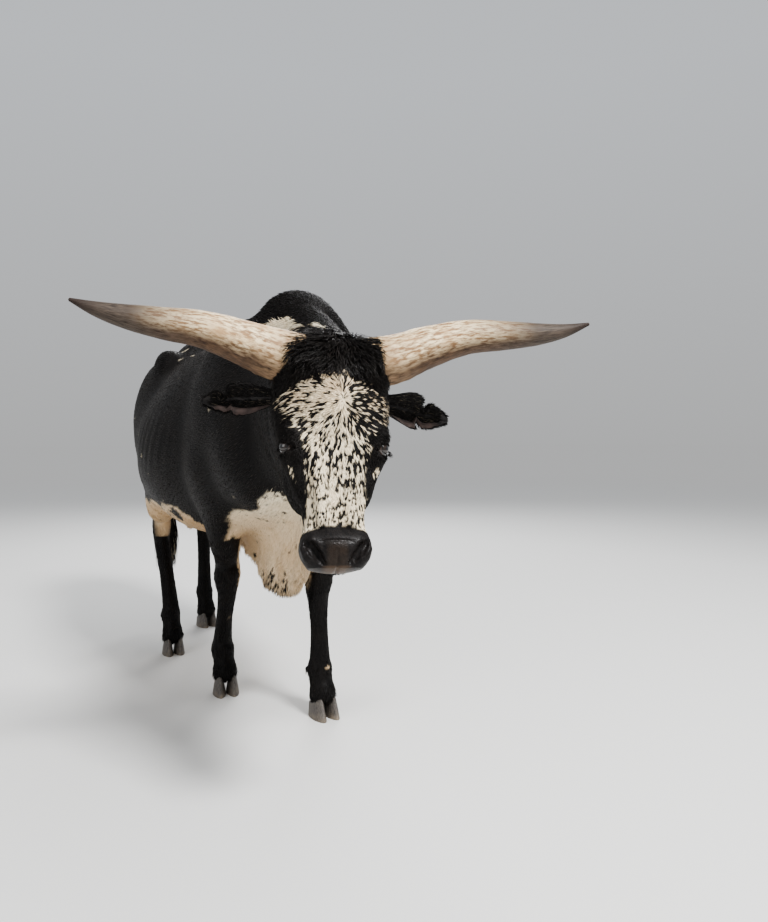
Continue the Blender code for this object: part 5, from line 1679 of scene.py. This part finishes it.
def poll_ground(p):
    """Ground of the poll's hair that is on the head."""
    q = to_head(p)
    return brow_or_poll(q) & (on_head(q) > 0.02)


root, out = roots_on(hide, 0.0031, poll_ground, 205)
q = to_head(root)
parting = q[:, 0] - PARTING_X
fall = np.stack([np.clip(parting / 0.045, -1.0, 1.0) * 0.85, -0.42 + 0 * parting,
                 -0.55 - 0.40 * smooth(-q[:, 2], -0.02, 0.06)], 1)
fall[:, 0] += 1.1 * (noise(root, 0.020, 206) - 0.5)
fall[:, 2] += 0.7 * (noise(root, 0.017, 207) - 0.5)
tall = (1.0 - smooth(-q[:, 2], 0.03, 0.10)) * (1.0 - smooth(np.abs(q[:, 0]), 0.075, 0.11))
notch = np.exp(-(parting / 0.012) ** 2)
corner = smooth(np.abs(q[:, 0]), 0.06, 0.10)
coat("poll_shag", root, out, laid_flat(fall @ HEAD[:3, :3].T, out), length=0.028 + 0.018 * tall,
     width=0.0013, rise=0.28 + 0.28 * tall - 0.20 * notch + 0.14 * corner,
     droop=0.30 + 0.14 * tall, wrap=head_wrap, rings=4, wave=0.14, look=HAIR_SHAG,
     white=white_share(root) * smooth(-q[:, 2], 0.080, 0.100))

# Horn roots. A skirt of hair grows out along each horn and covers the seam where the
# keratin leaves the skin.


def horn_skirt(p):
    """Ring of hair round each horn where it leaves the head."""
    q = to_head(p)
    return (np.abs(q[:, 0]) > 0.088) & (-q[:, 2] < 0.125) & (-q[:, 2] > -0.06) & (q[:, 1] < 0.15)


root, out = roots_on(hide, 0.0042, horn_skirt, 208)
q = to_head(root)
outwards = np.stack([np.sign(q[:, 0]), -0.1 + 0 * q[:, 0], -0.35 + 0 * q[:, 0]], 1)
coat("horn_fringe", root, out, laid_flat(outwards @ HEAD[:3, :3].T, out), length=0.024,
     width=0.0013, rise=0.22, droop=0.16, wrap=head_wrap, rings=3, wave=0.10)

# Trunk and legs. The short summer coat: flat glossy hair that runs back along the body and
# down the legs, a little longer and looser round the feet.
LEG_HAIR_Z = 0.50


def trunk_ground(p):
    """All of the hide above the legs and behind the head."""
    return (on_head(to_head(p)) < 0.5) & (p[:, 2] > LEG_HAIR_Z)


def leg_ground(p):
    """The legs, and what hangs as low."""
    return (p[:, 2] <= LEG_HAIR_Z) & (on_head(to_head(p)) < 0.5)


grow("body_hair", 0.0078, trunk_ground, 211, 0.14, length=0.024, width=0.0013, rise=0.050,
     droop=0.036, wrap=body_wrap, look=hair_look("body_coat", 0.44, 0.05))
root, out = roots_on(hide, 0.0066, leg_ground, 213)
low = 1.0 - smooth(root[:, 2], 0.06, 0.16)
coat("leg_hair", root, out, combed(root, out, 0.18, 214), length=0.017 + 0.003 * low,
     width=0.0012, rise=0.09 + 0.10 * low, droop=0.07, wrap=leg_wrap)

# Dewlap and sheath. Short hair hangs from the dewlap's thin edge, and a longer pale brush
# from the sheath's opening.


def dewlap_edge(p):
    """The dewlap's lowest few centimetres."""
    edge = curve(p[:, 1], DEWLAP_Y, DEWLAP_Z)
    return ((p[:, 1] > -0.62) & (p[:, 1] < 0.33) & (p[:, 2] < edge + 0.035)
            & (np.abs(p[:, 0] - neck_middle(p[:, 1])) < 0.07))


def sheath_tip(p):
    """Skin round the sheath's opening."""
    return (np.abs(p[:, 0]) < 0.05) & (p[:, 1] > 0.46) & (p[:, 1] < 0.56) & (p[:, 2] < 0.53)


root, out = roots_on(hide, 0.0046, dewlap_edge, 215)
hang = np.tile(np.array((0.0, 0.25, -1.0)), (len(root), 1))
coat("dewlap_fringe", root, out, hang, length=0.015, width=0.0009, rise=0.05, droop=0.03,
     wrap=body_wrap, rings=2, wave=0.10)
root, out = roots_on(hide, 0.0050, sheath_tip, 217)
hang = np.tile(np.array((0.0, -0.45, -1.0)), (len(root), 1))
coat("sheath_fringe", root, out, hang, length=0.042, width=0.0014, rise=0.10, droop=0.05,
     wrap=body_wrap, rings=3, wave=0.08, white=0.9, warm=0.35)

# Hump and neck. Rougher hair stands along the top of the neck and the hump, and a cream tuft
# curls along the white line at the hump's foot.


def hump_crest(p):
    """Top of the hump."""
    return (p[:, 2] > 1.20) & (np.abs(p[:, 1]) < 0.22)


def hump_tuft_ground(p):
    """The white line and a little round it."""
    return hump_line(p) > -0.002


def neck_crest_ground(p):
    """Top of the neck between poll and hump."""
    near = (p[:, 1] < -0.15) & (np.abs(p[:, 0] - neck_middle(p[:, 1])) < 0.06)
    return near & (p[:, 2] > 1.08) & (on_head(to_head(p)) < 0.6)


grow("hump_hair", 0.0062, hump_crest, 219, 0.35, length=0.024, width=0.0012, rise=0.24,
     droop=0.14, wrap=body_wrap, rings=3, wave=0.08)
root, out = roots_on(hide, 0.0042, hump_tuft_ground, 223)
fluff = smooth(hump_line(root), 0.002, 0.012)
coat("hump_tuft", root, out, combed(root, out, 0.9, 224), length=0.018 + 0.016 * fluff,
     width=0.0011, rise=0.20 + 0.45 * fluff, droop=0.15 + 0.20 * fluff, wrap=body_wrap,
     rings=3, wave=0.10, white=1.0, warm=0.12)
grow("neck_crest", 0.0058, neck_crest_ground, 221, 0.40, length=0.030, width=0.0013, rise=0.26,
     droop=0.18, wrap=body_wrap, rings=3, wave=0.09)

# Ear hair. Short and flat on the back of the leaf, a fringe round the rim, and hairs that
# stand up inside the cup, the longer ones along its lower side.
EAR_STEP = 0.004
BACK_HAIRS = 2600
RIM_HAIRS = 1500
CUP_HAIRS = 2000


def ear_coat(name, side, u, v, depth, lean, white=0.0, **form):
    """Tufts rooted on the ear's wall, running towards the tip and turned across by lean.

    Small steps along u and v give the wall's two directions, and their cross product its
    normal, which is turned away from the other wall.
    """
    root = ear_wall(side, u, v, depth)
    ahead, behind = np.clip(u + EAR_STEP, 0, 1), u - EAR_STEP
    above, below = np.clip(v + EAR_STEP, -1, 1), v - EAR_STEP
    du = unit(ear_wall(side, ahead, v, depth) - ear_wall(side, behind, v, depth))
    dv = laid_flat(ear_wall(side, u, above, depth) - ear_wall(side, u, below, depth), du)
    normal = np.cross(du, dv)
    away = root - ear_wall(side, u, v, 1.0 - depth)
    normal = normal * np.sign(np.sum(normal * away, 1))[:, None]
    way = du * np.cos(lean)[:, None] + dv * np.sin(lean)[:, None]
    flat = np.stack([u, 0.25 + 0.22 * v + 0.5 * depth], 1)
    turn = HEAD[:3, :3].T
    coat(name, from_head(root), normal @ turn, way @ turn, wrap=lambda p: flat, white=white,
         warm=0.2, **form)


for side, word in SIDES:
    rng = np.random.default_rng(300 + side)
    u = 0.06 + 0.92 * rng.random(BACK_HAIRS) ** 0.9
    v = rng.random(BACK_HAIRS) * 1.96 - 0.98
    ear_coat("ear_back_hair_" + word, side, u, v, 0.0, 0.5 * (rng.random(BACK_HAIRS) - 0.5),
             length=0.011, width=0.0010, rise=0.11, droop=0.09)
    u = 0.10 + 0.88 * rng.random(RIM_HAIRS)
    edge = np.where(rng.random(RIM_HAIRS) < 0.5, -1.0, 1.0)
    v = edge * (0.93 + 0.06 * rng.random(RIM_HAIRS))
    ear_coat("ear_rim_hair_" + word, side, u, v, 0.0, edge * (0.35 + 0.9 * rng.random(RIM_HAIRS)),
             length=0.0095, width=0.0008, rise=0.10, droop=0.03, wave=0.1)
    u = 0.06 + 0.84 * rng.random(CUP_HAIRS) ** 1.2
    upper = rng.random(CUP_HAIRS) < 0.62
    v = np.where(upper, 0.10 + 0.82 * rng.random(CUP_HAIRS), -0.10 - 0.45 * rng.random(CUP_HAIRS))
    ear_coat("ear_cup_hair_" + word, side, u, v, 1.0, -0.2 + 0.7 * rng.random(CUP_HAIRS),
             length=np.where(upper, 0.012, 0.017), width=0.0007, rise=0.30, droop=0.20, rings=3,
             wave=0.12, white=(rng.random(CUP_HAIRS) < 0.05) * 0.20)

# Lashes. Stiff curved hairs along the rim of each upper lid.
LASHES = 90
LASH_LENGTH = 0.0115
LASH_OUT = 0.0028
for side, word in SIDES:
    rng = np.random.default_rng(320 + side)
    a = np.linspace(-0.92, 0.92, LASHES) * LID_HALF
    o = LID_RISE * np.clip(1.0 - (a / LID_HALF) ** 2, 0.0, 1.0) ** 0.75 + 0.0012
    g = np.sqrt(np.maximum((EYE_RADIUS + LASH_OUT) ** 2 - a * a - o * o, 1e-6))
    aim = unit(np.stack([a * 9.0, 0.35 + 0.2 * rng.random(LASHES), 0.95 + 0 * a], 1))
    up = np.stack([0 * a, 1.0 + 0 * a, -0.35 + 0 * a], 1)
    place, aim, up = (w @ EYE_FRAME for w in (np.stack([a, o, g], 1), aim, up))
    place = place + np.array(EYE)
    for w in (place, aim, up):
        w[:, 0] *= side
    turn = HEAD[:3, :3].T
    coat("lashes_" + word, from_head(place), laid_flat(up, aim) @ turn, aim @ turn,
         length=LASH_LENGTH, width=0.00036, rise=-0.10, droop=-0.45, wrap=head_wrap, rings=4,
         white=0.0, warm=0.0, wave=0.04)

# Tail. The switch is a bush of long coarse hair that leaves the last bones of the tail all
# round, hangs by its own weight and gathers to a few points.
SWITCH_TOP = TAIL_LINE[-1]
SWITCH_HAIRS = 1900
SWITCH_DROP = 0.300
SWITCH_LOCKS = 7.0
CORE_DROP = (-0.045, 0.0, 0.05, 0.15, 0.25)
CORE_RADIUS = (0.015, 0.0155, 0.019, 0.016, 0.008)


def switch_wrap(p):
    """Unwrap of the switch: angle round its middle line, and height."""
    angle = np.arctan2(p[:, 1] - SWITCH_TOP[1], p[:, 0] - SWITCH_TOP[0])
    return np.stack([angle, p[:, 2]], 1)


def level_ways(angle):
    """Level directions at an angle round the tail."""
    return np.stack([np.cos(angle), np.sin(angle), 0 * angle], 1)


rng = np.random.default_rng(331)
drop = 0.255 * rng.random(SWITCH_HAIRS) ** 1.25 - 0.045
angle = rng.random(SWITCH_HAIRS) * math.tau
away = level_ways(angle)
core = np.interp(drop, CORE_DROP, CORE_RADIUS)
root = SWITCH_TOP + np.stack([0 * drop, 0.02 * drop, -drop], 1) + away * core[:, None]
spread = 0.22 - 0.45 * np.clip(drop, 0.0, 0.25) + 0.10 * rng.random(SWITCH_HAIRS)
lock = np.floor(angle / math.tau * SWITCH_LOCKS) / SWITCH_LOCKS * math.tau + 0.45
gather = (away + level_ways(lock)) * 0.5 * spread[:, None]
along = unit(np.array((0.0, 0.0, -1.0)) + gather)
reach = np.minimum(0.150 + 0.05 * rng.random(SWITCH_HAIRS), SWITCH_DROP - drop - 0.01)
switch_hair = coat("switch_hair", root, laid_flat(away, along), along, length=reach / 1.12,
                   width=0.0017, rise=0.03, droop=0.11, wrap=switch_wrap, rings=6, wave=0.06,
                   white=(noise(root, 0.02, 333) > 0.66) * 0.8, warm=0.3,
                   look=hair_look("switch_strands", 0.50, 0.10), slot="tail_hair")
for made in switch_hair:
    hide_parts("tail_switch")

# Floor and backdrop. Pale smooth ground that fades with distance into the sky's own colour,
# so that no edge is seen behind the bull.
HORIZON = (0.72, 0.725, 0.73, 1)
ZENITH = (0.90, 0.93, 0.97, 1)
PALE_GROUND = (0.72, 0.715, 0.70, 1)
SKY_STRENGTH = 0.60
FLOOR_SIZE = 160.0
FADE = (4.0, 15.0)
SKY_RISE = (-0.02, 0.45)


def floor_look():
    """Dull pale ground, glowing like the horizon from the far end of the fade on."""
    look = Tree("pale_floor")
    far = look.node("VectorMath", set_operation="LENGTH")
    look.put(far.inputs[0], look.node("TexCoord").outputs["Object"])
    glow = look.node("Emission", Color=HORIZON, Strength=SKY_STRENGTH)
    fade = look.node("MixShader")
    shares = (look.ramp(far.outputs["Value"], *FADE), look.shader.outputs[0], glow.outputs[0])
    for socket, value in zip(fade.inputs, shares):
        look.put(socket, value)
    look.put(look.tree.nodes["Material Output"].inputs["Surface"], fade.outputs[0])
    return look.finish(Base_Color=PALE_GROUND, Roughness=0.9)


bpy.ops.mesh.primitive_plane_add(size=FLOOR_SIZE)
floor = bpy.context.object
floor.name = "floor"
floor.data.materials.append(floor_look())

world = bpy.data.worlds.new("studio")
world.use_nodes = True
sky = world.node_tree.nodes
upward = sky.new("ShaderNodeSeparateXYZ")
height = sky.new("ShaderNodeMapRange")
height.inputs["From Min"].default_value = SKY_RISE[0]
height.inputs["From Max"].default_value = SKY_RISE[1]
shades = sky.new("ShaderNodeMix")
shades.data_type = "RGBA"
shades.inputs[6].default_value = HORIZON
shades.inputs[7].default_value = ZENITH
link = world.node_tree.links.new
link(sky.new("ShaderNodeTexCoord").outputs["Generated"], upward.inputs[0])
link(upward.outputs["Z"], height.inputs["Value"])
link(height.outputs[0], shades.inputs[0])
link(shades.outputs[2], sky["Background"].inputs["Color"])
sky["Background"].inputs["Strength"].default_value = SKY_STRENGTH
bpy.context.scene.view_settings.look = "AgX - Medium High Contrast"
bpy.context.scene.world = world

# Lamps. A small strong key from high in front for hard light like the sun's, a weak broad
# fill from the bull's right, and a rim light from behind: place, aim, size and watts of each.
LAMPS = {
    "key": ((0.9, -4.4, 5.2), (0.0, -0.4, 0.9), 1.3, 560.0),
    "fill": ((-4.6, -1.6, 2.6), (0.0, 0.2, 0.8), 3.0, 60.0),
    "rim": ((2.6, 4.6, 4.2), (0.0, 0.2, 0.9), 2.5, 200.0),
}


def lamp(name, place, aim, size, watts):
    """Square soft light at a place, turned to face its aim."""
    light = bpy.data.lights.new(name, "AREA")
    light.shape = "SQUARE"
    light.size = size
    light.energy = watts
    holder = bpy.data.objects.new(name, light)
    bpy.context.scene.collection.objects.link(holder)
    holder.location = place
    holder.rotation_euler = (Vector(aim) - Vector(place)).to_track_quat("-Z", "Y").to_euler()


for name, setting in LAMPS.items():
    lamp(name, *setting)

# Camera. It stands where the photo's stood, 0.9 m above the ground, level, with the frame
# shifted down because the horizon lies above the photo's middle. Lens and sensor are in
# millimetres, the photo's width and its horizon's rise over the middle in pixels.
LENS = 33.28
SENSOR_WIDTH = 36.0
PHOTO_WIDTH = 768.0
HORIZON_RISE = 23.0
CAMERA_PLACE = (-0.940, -2.161, 0.90)
CAMERA_TURN = -31.5

camera = bpy.data.cameras.new("camera")
camera.lens = LENS
camera.sensor_width = SENSOR_WIDTH
camera.sensor_fit = "HORIZONTAL"
camera.shift_y = -HORIZON_RISE / PHOTO_WIDTH
viewer = bpy.data.objects.new("camera", camera)
bpy.context.scene.collection.objects.link(viewer)
viewer.location = (CAMERA_PLACE[0] + PLACE[0], CAMERA_PLACE[1] + PLACE[1], CAMERA_PLACE[2])
viewer.rotation_euler = (math.radians(90.0), 0.0, math.radians(CAMERA_TURN))
bpy.context.scene.camera = viewer
